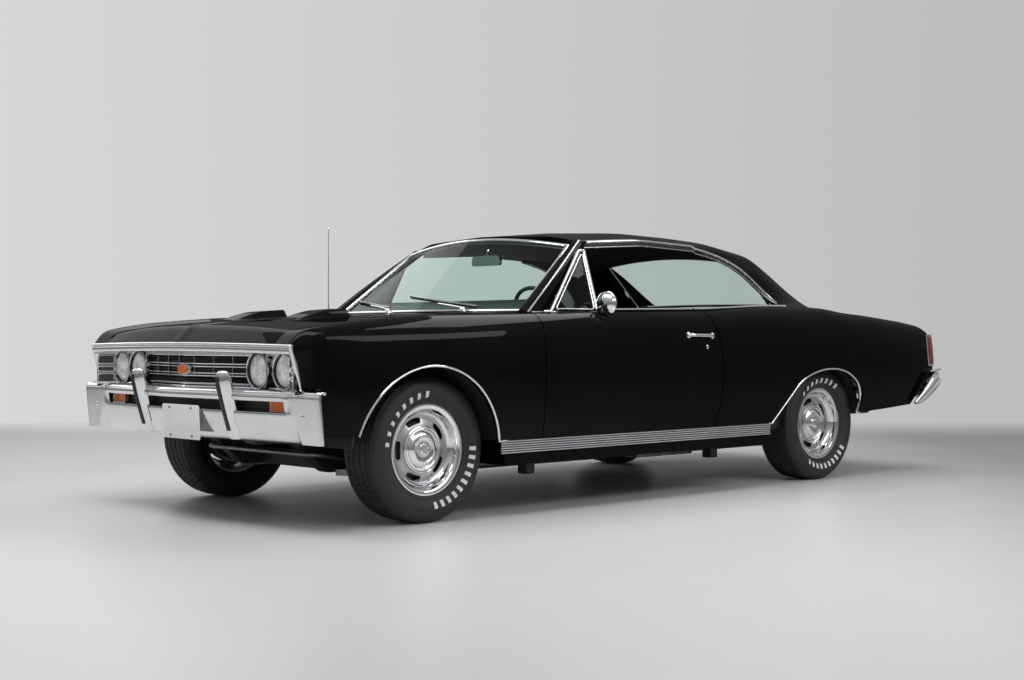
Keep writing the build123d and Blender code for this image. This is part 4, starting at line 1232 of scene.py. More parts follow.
# ---------------------------------------------------------------- tail
REAR_BLADE = (        # plan place of the face, then its lower and upper edge
    (0.000, 2.458, 0.430, 0.600), (0.200, 2.456, 0.430, 0.600), (0.400, 2.447, 0.430, 0.600),
    (0.600, 2.434, 0.430, 0.601), (0.760, 2.420, 0.432, 0.604), (0.815, 2.413, 0.446, 0.606),
    (0.860, 2.405, 0.500, 0.609), (0.900, 2.392, 0.546, 0.612), (0.924, 2.366, 0.545, 0.611),
    (0.934, 2.330, 0.524, 0.606), (0.936, 2.290, 0.498, 0.588), (0.934, 2.230, 0.460, 0.532),
    (0.926, 2.170, 0.424, 0.474), (0.916, 2.125, 0.409, 0.432), (0.910, 2.108, 0.408, 0.416))


class CAR_OT_tail(bpy.types.Operator):
    """Rear bumper, black tail panel with its bright rim, and the corner lamps"""

    bl_idname = "car.tail"
    bl_label = "Tail"

    def execute(self, context):
        blade = cubic(REAR_BLADE, np.linspace(0, len(REAR_BLADE) - 1, 85))
        heading = np.gradient(blade[:, :2], axis=0)
        out = np.stack([-heading[:, 1], heading[:, 0]], 1)
        out = -out / np.linalg.norm(out, axis=1)[:, None]
        rows = []
        for s, push in ((0, -0.016), (0.04, -0.005), (0.12, 0.001), (0.30, 0.003), (0.46, 0.0),
                        (0.52, -0.003), (0.58, 0.002), (0.74, 0.007), (0.86, 0.007), (0.93, 0.003),
                        (0.98, -0.006), (1.0, -0.020)):
            z = blade[:, 2] + (blade[:, 3] - blade[:, 2]) * s
            rows.append(np.stack([blade[:, 0] + out[:, 0] * push, blade[:, 1] + out[:, 1] * push, z], 1))
        rows[-1][:, 1] -= 0.012
        shell = mesh_object("bumper_rear_shell", *both_sides(sheet_part(rows, flip=True)), finish("chrome"),
                            50)
        face_sheet_out(shell, (0, 2.0, 0.5))
        thicken(shell, 0.004)
        bevel(shell, 0.0012, angle=50)
        fit(shell, "car", "chrome", "bumper_rear")
        corners = rounded([(-0.690, 0.632), (0.690, 0.632), (0.690, 0.795), (0.655, 0.806), (-0.655, 0.806),
                           (-0.690, 0.795)], 0.016)
        board = np.array([(px, 2.3225, pz) for px, pz in corners])
        made("tail_board", slab_part(board, (0, 0.006, 0), base=(0, -0.004, 0)), "grille_black",
             slot="grille_black", nodes=("tail_panel",))
        rim = sweep_part(board + (0, 0.003, 0), (0, 1, 0), half_round(0.012, 0.007), closed=True)
        lines = [sweep_part([(-0.66, 2.3255, z), (0, 2.3255, z), (0.66, 2.3255, z)], (0, 1, 0),
                            half_round(0.006, 0.004)) for z in (0.700, 0.745)]
        made("tail_board_rim", join_parts([rim, *lines]), "chrome", smooth_deg=60)
        plan = cubic([(0.712, 2.334), (0.780, 2.337), (0.840, 2.337), (0.886, 2.329), (0.908, 2.308),
                      (0.914, 2.280), (0.914, 2.250)], np.linspace(0, 6, 40))
        heading = np.gradient(plan, axis=0)
        out = np.stack([heading[:, 1], -heading[:, 0]], 1)
        out = -out / np.linalg.norm(out, axis=1)[:, None]

        def wrap(z, push):
            lean = (z - 0.66) * np.where(plan[:, 0] > 0.88, 0.10, 0.0)
            return spots(plan[:, 0] + out[:, 0] * push - lean, plan[:, 1] + out[:, 1] * push, z)

        zs = np.linspace(0.640, 0.820, 13)
        swell = 0.004 * np.sin(np.pi * np.linspace(0, 1, 13)) ** 0.5
        lens = mesh_object("tail_lenses", *both_sides(sheet_part([wrap(z, s) for z, s in zip(zs, swell)])),
                           finish("red_lens"), 40)
        face_sheet_out(lens, (0, 2.0, 0.7))
        thicken(lens, 0.008)
        fit(lens, "car", "lamp_red", "tail_lamps")
        edges = []
        for z in (0.637, 0.730, 0.823):
            edges.append(sweep_part(wrap(z, 0.003), np.column_stack([out, np.zeros(len(out))]),
                                    half_round(0.010 if z != 0.730 else 0.005, 0.007)))
        for k in (0, -1):
            side = np.array([wrap(z, 0.003)[k] for z in np.linspace(0.634, 0.826, 14)])
            edges.append(sweep_part(side, (*out[k], 0), half_round(0.010, 0.007)))
        made("tail_lamp_rims", both_sides(join_parts(edges)), "chrome", smooth_deg=60)
        plate = rounded_box(-PLATE_HALF_W, 0.447, PLATE_HALF_W, 0.585, 0.012)
        board = slab_part([(px, 2.4665, pz) for px, pz in plate], (0, 0.003, 0))
        made("blank_plate_rear", board, "plate_white", slot="paint", smooth_deg=30)
        return {"FINISHED"}


def face_sheet_out(piece, centre):
    """Turns an open sheet's faces away from a point inside."""
    work = bmesh.new()
    work.from_mesh(piece.data)
    inside = Vector(centre)
    total = sum((f.normal.dot(Vector((0, f.calc_center_median().y, f.calc_center_median().z))
                              - Vector((0, inside.y, inside.z))) if abs(f.calc_center_median().x) < 0.5
                 else 0) * f.calc_area() for f in work.faces)
    if total < 0:
        bmesh.ops.reverse_faces(work, faces=work.faces)
    work.to_mesh(piece.data)
    work.free()


# ---------------------------------------------------------------- glass and trim
GLASS_BASE = (0.702, -1.016, -1.150, 0.930)      # half width, end y, middle y, height
GLASS_TOP = (0.590, -0.525, -0.656, 1.318)


def windshield_point(t, s, out=0.0):
    """A point on the windshield, t across from -1 to 1, s up from 0 to 1, moved outwards."""
    t, s = np.broadcast_arrays(np.asarray(t, float), np.asarray(s, float))
    w, end, middle, z = (a + (b - a) * s for a, b in zip(GLASS_BASE, GLASS_TOP))
    y = end + (middle - end) * (1 - t * t)
    normal = spots(1.15 * t * 0.35, -0.62, 0.78)
    normal = normal / np.linalg.norm(normal, axis=-1, keepdims=True)
    return spots(w * t, y, z) + normal * out


def windshield_top(t):
    return 1 - (0.052 * np.asarray(t) ** 2 + 0.006) / (GLASS_TOP[3] - GLASS_BASE[3])


def on_side(ys, zs, out=0.0):
    """Points on the body side at stations and heights, moved outwards."""
    ys, zs = np.broadcast_arrays(np.atleast_1d(ys).astype(float), np.atleast_1d(zs).astype(float))
    found = side_skin.points(ys, side_skin.place(ys, zs, CREST))
    return found + np.array([out, 0, 0])


def drip_line(ys, drop=0.0):
    """The chrome rail's line: along the roof's edge, then down the window's rear edge."""
    ys = np.asarray(ys, float)
    rail = roof_skin.points(ys, np.full(len(ys), float(DRIP)))
    level = np.minimum(rail[:, 2], np.where(ys < 0.30, 9.0, window_edge_z(ys) + 0.012)) - drop
    edge = roof_skin.points(ys, roof_skin.place(ys, level, DRIP))
    share = soft_step(ys, 0.15, 0.45)[:, None]
    straight = rail - (0, 0, drop) + np.array([0.35 * drop, 0, 0])
    return straight * (1 - share) + edge * share


class CAR_OT_glass(bpy.types.Operator):
    """Windshield and rear glass with their bright mouldings"""

    bl_idname = "car.glass"
    bl_label = "Fixed glass"

    def execute(self, context):
        t = np.linspace(-1, 1, 49)
        rows = [windshield_point(t, 0.012 + (windshield_top(t) - 0.012) * s) for s in np.linspace(0, 1, 25)]
        walled("windshield_pane", sheet_part(rows), 0.004, "windshield_glass", "glass", "windshield")
        loop = np.concatenate([windshield_point(t[:-1], 0.012),
                               windshield_point(1.0, np.linspace(0.012, windshield_top(1), 24)[:-1]),
                               windshield_point(t[::-1][:-1], windshield_top(t[::-1][:-1])),
                               windshield_point(-1.0, np.linspace(windshield_top(1), 0.012, 24)[:-1])])
        outward = windshield_point(0.0, 0.5, 1.0) - windshield_point(0.0, 0.5)
        made("windshield_moulding", sweep_part(loop + outward * 0.003, outward, half_round(0.020, 0.008),
                                               closed=True), "chrome", smooth_deg=60)
        shade = sweep_part(loop - outward * 0.007, -outward, half_round(0.050, 0.010), closed=True)
        made("windshield_seal", shade, "black_rubber", slot="grille_black", smooth_deg=60)
        x = np.linspace(-0.512, 0.512, 25)
        crown = 0.020 * (1 - (x / 0.512) ** 2)
        rows = [spots(x, 0.874 + 0.304 * s, 1.262 - 0.270 * s + crown * (1 - 0.7 * s))
                for s in np.linspace(0, 1, 20)]
        walled("rear_pane", sheet_part(rows), 0.004, "rear_glass", "glass", "rear_glass")
        net = np.array(rows)
        loop = np.concatenate([net[0, :-1], net[:-1, -1], net[-1, :0:-1], net[:0:-1, 0]])
        made("rear_glass_moulding", sweep_part(loop + (0, 0.003, 0.004), (0, 0.66, 0.75),
                                               half_round(0.018, 0.007), closed=True), "chrome",
             smooth_deg=60)
        return {"FINISHED"}


def vent_point(y, up, out=0.0):
    return np.array([0.818 - 0.425 * up + 0.905 * out, y, 0.950 + 0.905 * up + 0.425 * out])


class CAR_OT_pillars(bpy.types.Operator):
    """Windshield pillars, drip rails, window line trim and vent windows"""

    bl_idname = "car.pillars"
    bl_label = "Pillars and window trim"

    def execute(self, context):
        foot = np.array([(0.712, -1.062), (0.776, -1.056), (0.782, -0.925), (0.724, -0.925)])
        head = np.array([(0.592, -0.560), (0.630, -0.562), (0.642, -0.488), (0.598, -0.480)])
        rings = []
        for s in np.linspace(0, 1, 20):
            ring = foot + (head - foot) * s + (0.010 * math.sin(math.pi * s), -0.006 * math.sin(math.pi * s))
            rings.append(rounded(np.column_stack([ring, np.full(4, 0.925 + 0.366 * s)]), 0.014, 3))
        net = np.array(rings)
        count = net.shape[1]
        pillar = (net.reshape(-1, 3), closed_faces(20, count))
        made("windshield_pillars", both_sides(pillar), "paint", slot="paint", smooth_deg=50)
        ys = np.linspace(-0.545, 0.905, 80)
        rail = drip_line(ys)
        rail[-3:, 2] -= (0.000, 0.004, 0.010)
        parts = [sweep_part(rail + (0.004, 0, 0), (1, 0, 0.25), half_round(0.014, 0.011))]
        lead = np.array([net[k, 2 * count // 4 - 1] for k in range(0, 20)])
        parts.append(sweep_part(lead + (0.002, -0.001, 0), (1, -0.35, 0.1), half_round(0.010, 0.006)))
        made("drip_rails", both_sides(join_parts(parts)), "chrome", smooth_deg=60)
        ys = np.linspace(-0.50, 0.880, 70)
        inner = drip_line(ys, 0.026)
        made("window_upper_trim",
             both_sides(sweep_part(inner + (0.001, 0, 0), (1, 0, 0.25), half_round(0.007, 0.005))),
             "satin_bright", slot="trim_bright", smooth_deg=60)
        under = drip_line(ys, 0.013)
        made("window_weatherstrip",
             both_sides(sweep_part(under - (0.004, 0, 0), (1, 0, 0.25), half_round(0.022, 0.005))),
             "black_rubber", slot="grille_black", smooth_deg=60)
        for side, flip in SIDES:
            shape = [(-0.950, -0.030), (-0.621, -0.030), (-0.566, 0.315), (-0.606, 0.315)]
            pane = np.array([vent_point(y, up) for y, up in rounded(shape, 0.02)])
            normal = np.array((0.905, 0, 0.425))
            loop = sweep_part(pane + normal * 0.002, normal, half_round(0.016, 0.008), closed=True)
            inner_ring = np.array([vent_point(y, up, 0.004)
                                   for y, up in rounded([(-0.905, -0.010), (-0.640, -0.010), (-0.590, 0.290),
                                                         (-0.605, 0.290)], 0.02)])
            second = sweep_part(inner_ring, normal, half_round(0.008, 0.006), closed=True)
            divider = sweep_part([vent_point(-0.621, -0.04), vent_point(-0.594, 0.14),
                                  vent_point(-0.566, 0.32)], normal, half_round(0.020, 0.010))
            surround = join_parts([loop, second, divider])
            glass = slab_part(pane, normal * 0.003)
            for name, part, finish_name, slot in ((f"vent_frame_{side}", surround, "chrome", "chrome"),
                                                  (f"vent_pane_{side}", glass, "side_glass", "glass")):
                made(name, mirrored(part) if flip else part, finish_name, f"door_{side}", slot, smooth_deg=60)
        return {"FINISHED"}


def arch_line(points, out):
    points = np.asarray(points)
    return on_side(points[:, 0], points[:, 1], out)


class CAR_OT_side_trim(bpy.types.Operator):
    """Wheel opening mouldings, ribbed sill moulding, belt strips, handles and locks"""

    bl_idname = "car.side_trim"
    bl_label = "Side trim"

    def execute(self, context):
        front = fender_lower_edge()[24:74]
        rear = rear_lower_edge()[14:80]
        parts = [sweep_part(arch_line(p, 0.0005), (1, 0, 0), half_round(0.011, 0.006)) for p in (front, rear)]
        made("wheel_opening_mouldings", both_sides(join_parts(parts)), "chrome", smooth_deg=60)
        base = box_part((0.9255, -1.355, 0.286), (0.9285, 0.628, 0.346))
        made("sill_moulding", both_sides(base), "grille_black", slot="trim_bright", smooth_deg=30)
        ys = np.array((-1.355, -0.4, 0.628))
        rib = sweep_part(spots(0.9283, ys, 0.2905), (1, 0, 0), half_round(0.0062, 0.0045, 4))
        for side, part in (("left", rib), ("right", mirrored(rib))):
            fit(repeated(f"sill_ribs_{side}", part, 6, (0, 0, 0), (0, 0, 0.0104), finish("chrome"),
                         smooth_deg=60), "car", "trim_bright")
        for side, flip in SIDES:
            ys = np.linspace(-0.975, float(door_edge_y(0.95, 0)) - 0.004, 60)
            belt = side_skin.points(ys, np.full(60, 62.6))
            strip = sweep_part(belt + (0, 0, 0.001), (0.35, 0, 1), half_round(0.016, 0.008))
            grip = np.array([(-0.075, 0.821), (-0.055, 0.821), (0.0, 0.820), (0.055, 0.819), (0.098, 0.818),
                             (0.125, 0.817)])
            line = on_side(grip[:, 0], grip[:, 1])
            line[:, 0] += (0.001, 0.022, 0.026, 0.025, 0.020, 0.001)
            line = cubic(line, np.linspace(0, 5, 31))
            handle = sweep_part(line, (1, 0, 0.15), [(-0.006, -0.003), (-0.007, 0.001), (-0.004, 0.004),
                                                     (0.004, 0.004), (0.007, 0.001), (0.006, -0.003)])
            seats = [revolve_part([(-0.002, 0.0), (-0.002, 0.017), (0.004, 0.016), (0.007, 0.010),
                                   (0.007, 0.0)], 24, centre=tuple(on_side(y, z)[0]))
                     for y, z in ((-0.068, 0.821), (0.118, 0.817))]
            place = on_side(0.108, 0.8175)[0]
            button = revolve_part([(-0.002, 0.0), (-0.002, 0.013), (0.014, 0.013), (0.018, 0.010),
                                   (0.019, 0.0)], 28, centre=tuple(place))
            lock = revolve_part([(-0.002, 0.0), (-0.002, 0.011), (0.003, 0.011), (0.005, 0.008),
                                 (0.004, 0.004), (0.004, 0.0)], 24, centre=tuple(on_side(0.076, 0.760)[0]))
            part = join_parts([strip, handle, *seats, button, lock])
            made(f"door_brightwork_{side}", mirrored(part) if flip else part, "chrome", f"door_{side}",
                 smooth_deg=50)
        ys = np.linspace(float(door_edge_y(0.95, 0)) + 0.010, 0.905, 40)
        belt = side_skin.points(ys, np.interp(ys, (0.5, 0.905), (62.6, 64.0)))
        made("quarter_belt_strips",
             both_sides(sweep_part(belt + (0, 0, 0.001), (0.35, 0, 1), half_round(0.016, 0.008))), "chrome",
             smooth_deg=60)
        return {"FINISHED"}


class CAR_OT_cowl(bpy.types.Operator):
    """Cowl panel with its louvres, wipers, antenna and mirrors"""

    bl_idname = "car.cowl"
    bl_label = "Cowl, wipers and mirrors"

    def execute(self, context):
        t = np.linspace(-1, 1, 49)
        x = 0.700 * t
        z_hood = hood_z(x, np.full(49, -1.2)) - 0.006
        rear = windshield_point(t, 0.0)
        rows = []
        for f in np.linspace(0, 1, 10):
            y = -1.191 + (rear[:, 1] - 0.004 + 1.191) * f
            z = z_hood + (0.934 - z_hood) * f
            rows.append(np.stack([x + (rear[:, 0] * 1.03 - x) * f, y, z], 1))
        walled("cowl_skin", sheet_part(rows), 0.012, "paint", "paint", "cowl")
        slot_item = box_part((-0.004, -0.022, 0.0), (0.004, 0.022, 0.0015))
        for side, start in (("left", 0.14), ("right", -0.50)):
            louvres = repeated(f"cowl_louvres_{side}", slot_item, 19, (start, -1.163, 0.9345), (0.020, 0, 0),
                               finish("black_rubber"))
            fit(louvres, "car", "grille_black")
        arms, blades = [], []
        for pivot, reach, tip, lift in ((0.450, 0.200, -0.060, 0.200), (-0.120, -0.330, -0.560, 0.17)):
            foot = np.array((pivot, -1.158, 0.936))
            t0, t1 = reach / 0.66, tip / 0.64
            a = windshield_point(t0, 0.085, 0.016)
            arms.append(revolve_part([(-0.004, 0.0), (-0.004, 0.016), (0.010, 0.014), (0.018, 0.008),
                                      (0.018, 0.0)], 20, axis="Z", centre=tuple(foot)))
            arms.append(tube_part(cubic([foot + (0, 0, 0.014), foot * 0.6 + a * 0.4 + (0, 0, 0.010), a],
                                        np.linspace(0, 2, 12)), 0.0045))
            tt = np.linspace((pivot - 0.02) / 0.66, t1, 14)
            line = windshield_point(tt, np.linspace(0.055, lift, 14), 0.009)
            arms.append(sweep_part(line + (0, 0, 0.003), (0, -0.6, 0.8), half_round(0.006, 0.006)))
            blades.append(sweep_part(line, (0, -0.6, 0.8), [(-0.003, -0.008), (-0.004, 0.002), (0.004, 0.002),
                                                             (0.003, -0.008)]))
        made("wiper_arms", join_parts(arms), "chrome", smooth_deg=50)
        made("wiper_blades", join_parts(blades), "black_rubber", slot="grille_black", smooth_deg=40)
        mast = revolve_part([(-0.006, 0.0), (-0.006, 0.020), (0.004, 0.018), (0.016, 0.008), (0.030, 0.0055),
                             (0.060, 0.0030), (0.300, 0.0022), (0.462, 0.0016), (0.464, 0.0034),
                             (0.468, 0.0040), (0.473, 0.0030), (0.476, 0.0)], 16, axis="Z",
                            centre=(-0.752, -1.062, 0.927))
        made("antenna", mast, "chrome", smooth_deg=40)
        head = (0.893, -0.622, 0.972)
        shell = revolve_part([(0.010, 0.0), (0.010, 0.055), (0.006, 0.060), (-0.004, 0.061), (-0.018, 0.054),
                              (-0.030, 0.038), (-0.036, 0.018), (-0.037, 0.0)], 40, axis="Y", centre=head)
        stalk = tube_part(cubic([(0.845, -0.640, 0.925), (0.850, -0.640, 0.945), (0.872, -0.636, 0.962),
                                 (0.893, -0.628, 0.978)], np.linspace(0, 3, 16)), 0.0075)
        base = revolve_part([(-0.010, 0.0), (-0.010, 0.026), (0.003, 0.024), (0.008, 0.014), (0.009, 0.0)],
                            28, axis="Z", centre=(0.842, -0.640, 0.925))
        made("door_mirror", join_parts([shell, stalk, base]), "chrome", "door_left", smooth_deg=50)
        face = revolve_part([(0.0095, 0.0), (0.0095, 0.052), (0.012, 0.051), (0.012, 0.0)], 40, axis="Y",
                            centre=head)
        made("door_mirror_face", face, "mirror_glass", "door_left", slot="chrome")
        oval = [(x, -0.585, z) for x, z in rounded([(-0.112, 1.185), (0.112, 1.185), (0.105, 1.238),
                                                    (-0.105, 1.238)], 0.022)]
        made("cabin_mirror", join_parts([slab_part(oval, (0, 0.018, 0), base=(0, -0.012, 0)),
                                         tube_part([(0, -0.59, 1.235), (0, -0.565, 1.290)], 0.006)]),
             "chrome", smooth_deg=50)
        return {"FINISHED"}


class CAR_OT_inner_panels(bpy.types.Operator):
    """Trim panels inside the doors and beside the rear seat, with armrests and cranks"""

    bl_idname = "car.inner_panels"
    bl_label = "Inner side panels"

    def execute(self, context):
        def pad(y0, y1, z0, z1, x0, x1):
            outline = rounded_box(y0, z0, y1, z1, 0.04)
            return slab_part([(x1, y, z) for y, z in outline], (x0 - x1, 0, 0))

        rib = sweep_part([(0.7855, 0, 0.600), (0.7855, 0, 0.700), (0.7855, 0, 0.800)], (-1, 0, 0),
                         half_round(0.022, 0.006, 4))
        for side, flip in SIDES:
            turn = mirrored if flip else (lambda part: part)
            board = join_parts([pad(-1.040, 0.055, 0.355, 0.905, 0.786, 0.800),
                                pad(-0.70, -0.24, 0.640, 0.700, 0.735, 0.790)])
            made(f"door_trim_{side}", turn(board), "vinyl", f"door_{side}", "vinyl", smooth_deg=40,
                 edge=0.004)
            ribs = repeated(f"door_trim_pleats_{side}", turn(rib), 38, (0, -1.0, 0), (0, 0.026, 0),
                            finish("vinyl"), smooth_deg=60)
            fit(ribs, f"door_{side}", "vinyl")
            top = spots(0.800, np.linspace(-1.05, 0.06, 40), 0.920)
            cap = sweep_part(top, (-0.3, 0, 1), half_round(0.034, 0.012))
            made(f"door_cap_{side}", turn(cap), "dash", f"door_{side}", "vinyl", smooth_deg=60)
            crank = join_parts([revolve_part([(0.0, 0.0), (0.0, 0.022), (-0.010, 0.018), (-0.012, 0.0)], 24,
                                             centre=(0.786, -0.47, 0.585)),
                                tube_part([(0.772, -0.47, 0.585), (0.764, -0.40, 0.560),
                                           (0.762, -0.36, 0.550)], 0.006),
                                tube_part([(0.792, -0.80, 0.745), (0.760, -0.80, 0.745),
                                           (0.755, -0.74, 0.742)], 0.007)])
            made(f"door_handles_{side}", turn(crank), "chrome", f"door_{side}", smooth_deg=50)
        wall = join_parts([pad(0.085, 1.070, 0.300, 0.900, 0.786, 0.798),
                           pad(0.30, 0.78, 0.585, 0.640, 0.735, 0.790)])
        made("rear_side_trim", both_sides(wall), "vinyl", slot="vinyl", smooth_deg=40, edge=0.004)
        ys = np.linspace(0.09, 0.90, 30)
        cap = sweep_part(spots(0.800, ys, np.interp(ys, (0.09, 0.9), (0.928, 0.958))), (-0.3, 0, 1),
                         half_round(0.034, 0.012))
        made("rear_side_caps", both_sides(cap), "dash", slot="vinyl", smooth_deg=60)
        return {"FINISHED"}


# ---------------------------------------------------------------- wheels
TYRE_SIDE = ((0.1000, 0.222), (0.1110, 0.236), (0.1165, 0.250), (0.1172, 0.262), (0.1145, 0.280),
             (0.1060, 0.298), (0.0930, 0.3105))
TREAD_RIBS = ((-0.0890, -0.0600), (-0.0550, -0.0230), (-0.0180, 0.0180), (0.0230, 0.0550), (0.0600, 0.0890))
WHITE_GROUPS = ((172.0, -11.0, 8), (-1.0, -9.2, 10))      # first angle, step, count


def block_item(loop, angles):
    """A small block bent round the axle: a loop of (along, radius) carried through a few angles."""
    net = [[(a, r * math.cos(t), r * math.sin(t)) for a, r in loop] for t in angles]
    rows, columns = len(angles), len(loop)
    points = np.array(net).reshape(-1, 3)
    return points, closed_faces(rows, columns)


def slotted_disc():
    """The wheel's disc with five long openings near its edge, as a sheet facing outwards."""
    place = ((0.092, 0.0500), (0.104, 0.0490), (0.116, 0.0450), (0.138, 0.0385), (0.147, 0.0400),
             (0.152, 0.0440))
    parts = []
    spread = np.linspace(0, 1, 17)
    for k in range(5):
        middle = math.radians(108 + 72 * k)
        border = []
        for f in spread[:-1]:
            border.append((-36 + 72 * f, 0.152))
        for f in spread[:8]:
            border.append((36, 0.152 - 0.060 * f * 2))
        for f in spread[:-1]:
            border.append((36 - 72 * f, 0.092))
        for f in spread[:8]:
            border.append((-36, 0.092 + 0.060 * f * 2))
        border = np.array(border)
        around = np.arctan2((border[:, 1] - 0.128) / 0.030, border[:, 0] / 36)
        hole = np.stack([17.5 * np.sign(np.cos(around)) * np.abs(np.cos(around)) ** 0.5,
                         0.128 + 0.0115 * np.sign(np.sin(around)) * np.abs(np.sin(around)) ** 0.5], 1)
        rows = []
        for f in (0, 0.06, 0.14, 0.3, 0.5, 0.75, 1.0):
            ring = hole + (border - hole) * f
            depth = np.interp(ring[:, 1], *zip(*place)) - (0.004 if f == 0 else 0.001 if f == 0.06 else 0)
            turn = middle + np.radians(ring[:, 0])
            rows.append(np.stack([depth, ring[:, 1] * np.cos(turn), ring[:, 1] * np.sin(turn)], 1))
        net = np.array(rows)
        count = net.shape[1]
        parts.append((net.reshape(-1, 3), grid_faces(len(rows), count, wrap=True)))
    return join_parts(parts)


def moved(part, offset, flip):
    points = np.asarray(part[0], float) + offset
    return mirrored((points, part[1])) if flip else (points, part[1])


class CAR_OT_wheels(bpy.types.Operator):
    """Tyres with their tread and white blocks, trim rings, slotted discs and caps"""

    bl_idname = "car.wheels"
    bl_label = "Wheels"

    def execute(self, context):
        fine = [tuple(p) for p in cubic(TYRE_SIDE, np.linspace(0, len(TYRE_SIDE) - 1, 25))]
        crown = []
        for a, b in TREAD_RIBS:
            crown += [(a, 0.3135), (a + 0.001, 0.3150), (b - 0.001, 0.3150), (b, 0.3135)]
        outer = [(0.086, 0.1930), (0.090, 0.2030), (0.094, 0.2080), (0.0965, 0.2100), (0.0965, 0.2160)] + fine
        tyre = [(-a, r) for a, r in outer] + crown + outer[::-1]
        barrel = [(0.079, 0.2030), (0.076, 0.1980), (0.070, 0.1900), (0.058, 0.1870), (0.040, 0.1840),
                  (0.020, 0.1700), (-0.030, 0.1700), (-0.060, 0.1850), (-0.078, 0.1900), (-0.083, 0.2010),
                  (-0.087, 0.2010), (-0.085, 0.1870), (-0.062, 0.1800), (-0.032, 0.1640), (0.018, 0.1640),
                  (0.034, 0.1540), (0.040, 0.1530), (0.044, 0.1600), (0.060, 0.1800), (0.074, 0.1860)]
        ring = [(0.0790, 0.2045), (0.0850, 0.2040), (0.0885, 0.2015), (0.0895, 0.1975), (0.0885, 0.1900),
                (0.0870, 0.1830), (0.0835, 0.1775), (0.0760, 0.1740), (0.0700, 0.1725), (0.0640, 0.1690),
                (0.0600, 0.1655), (0.0560, 0.1640), (0.0520, 0.1600), (0.0480, 0.1545), (0.0465, 0.1515),
                (0.0440, 0.1500), (0.0420, 0.1515), (0.0440, 0.1600), (0.0560, 0.1690), (0.0680, 0.1770),
                (0.0760, 0.1860)]
        cap = [(0.0440, 0.1050), (0.0500, 0.1050), (0.0550, 0.1030), (0.0570, 0.0985), (0.0560, 0.0940),
               (0.0575, 0.0880), (0.0600, 0.0855), (0.0590, 0.0835), (0.0560, 0.0825), (0.0560, 0.0810),
               (0.0600, 0.0795), (0.0640, 0.0740), (0.0680, 0.0640), (0.0695, 0.0560), (0.0680, 0.0530),
               (0.0640, 0.0515), (0.0630, 0.0480), (0.0640, 0.0300), (0.0640, 0.0270), (0.0700, 0.0262),
               (0.0740, 0.0240), (0.0755, 0.0190), (0.0735, 0.0180), (0.0735, 0.0)]
        drum = [(0.028, 0.0), (0.028, 0.095), (0.026, 0.118), (0.022, 0.123), (-0.052, 0.123),
                (-0.056, 0.120), (-0.056, 0.0)]
        for name, wheel_x, wheel_y in WHEELS:
            body, flip = f"wheel_{name}", wheel_x < 0
            centre = np.array((WHEEL_X, wheel_y, TYRE_R))
            turn = -math.radians(36) if "rear" in name else 0.0

            def whole(label, profile, finish_name, slot, *nodes, count=96, closed=True):
                part = moved(revolve_part(profile, count, closed=closed), centre, flip)
                return made(f"{label}_{name}", part, finish_name, body, slot, nodes, smooth_deg=32)

            whole("tyre_casing", tyre, "tyre", "tyre", f"tyre_{name}", count=120)
            whole("wheel_barrel", barrel, "wheel_silver", "wheel_rim_black", f"rim_{name}")
            whole("trim_ring", ring, "chrome", "chrome", count=120)
            whole("hub_cap", cap, "chrome", "chrome", closed=False)
            whole("brake_drum", drum, "chassis_black", "cast_metal", count=64, closed=False)
            disc = mesh_object(f"wheel_disc_{name}", *moved(slotted_disc(), centre, flip),
                               finish("wheel_silver"), 30)
            face_along(disc, -1 if flip else 1)
            fit(thicken(disc, 0.003), body, "wheel_silver")
            mirror = np.array((-1.0, 1.0, 1.0)) if flip else np.ones(3)
            half = math.radians(2.45)
            loops = [[(a, 0.3140), (a + 0.002, low), (b - 0.002, high), (b, 0.3140)]
                     for (a, b), low, high in zip(TREAD_RIBS, (0.3168, 0.3190, 0.3197, 0.3197, 0.3190),
                                                  (0.3190, 0.3197, 0.3197, 0.3190, 0.3168))]
            item = join_parts([block_item(loop, (-half + skew, half + skew))
                               for loop, skew in zip(loops, (0, 0.03, 0.0, 0.03, 0))])
            lugs = [block_item([(s * 0.0915, 0.3085), (s * 0.0950, 0.3105), (s * 0.0905, 0.3150),
                                (s * 0.0880, 0.3140)], (-half * 0.7, half * 0.7)) for s in (1, -1)]
            item = join_parts([item, *lugs])
            tread = repeated(f"tyre_tread_{name}", (np.asarray(item[0]) * mirror, item[1]), 64,
                             tuple(centre * mirror), math.tau / 64, finish("tyre"), ring=True)
            fit(face_outwards(tread) or tread, body, "tyre")
            for k, (first, step, count) in enumerate(WHITE_GROUPS):
                radii = np.array((0.2300, 0.2380, 0.2480, 0.2580))
                a = np.interp(radii, [p[1] for p in fine], [p[0] for p in fine])
                loop = [(a[0] - 0.003, radii[0])] + [(x + 0.0016, r)
                                                     for x, r in zip(a, radii)] + [(a[-1] - 0.003, radii[-1])]
                start = math.radians(first) + turn
                wide = 0.0085 / 0.244
                block = block_item(loop, (start - wide, start, start + wide))
                row = repeated(f"tyre_blocks_{k + 1}_{name}", (np.asarray(block[0]) * mirror, block[1]),
                               count, tuple(centre * mirror), math.radians(step), finish("tyre_white"),
                               ring=True)
                fit(face_outwards(row) or row, body, "tyre")
        return {"FINISHED"}


def face_along(piece, sign):
    """Turns an open sheet's faces towards +X or -X."""
    work = bmesh.new()
    work.from_mesh(piece.data)
    if sum(f.normal.x * f.calc_area() for f in work.faces) * sign < 0:
        bmesh.ops.reverse_faces(work, faces=work.faces)
    work.to_mesh(piece.data)
    work.free()


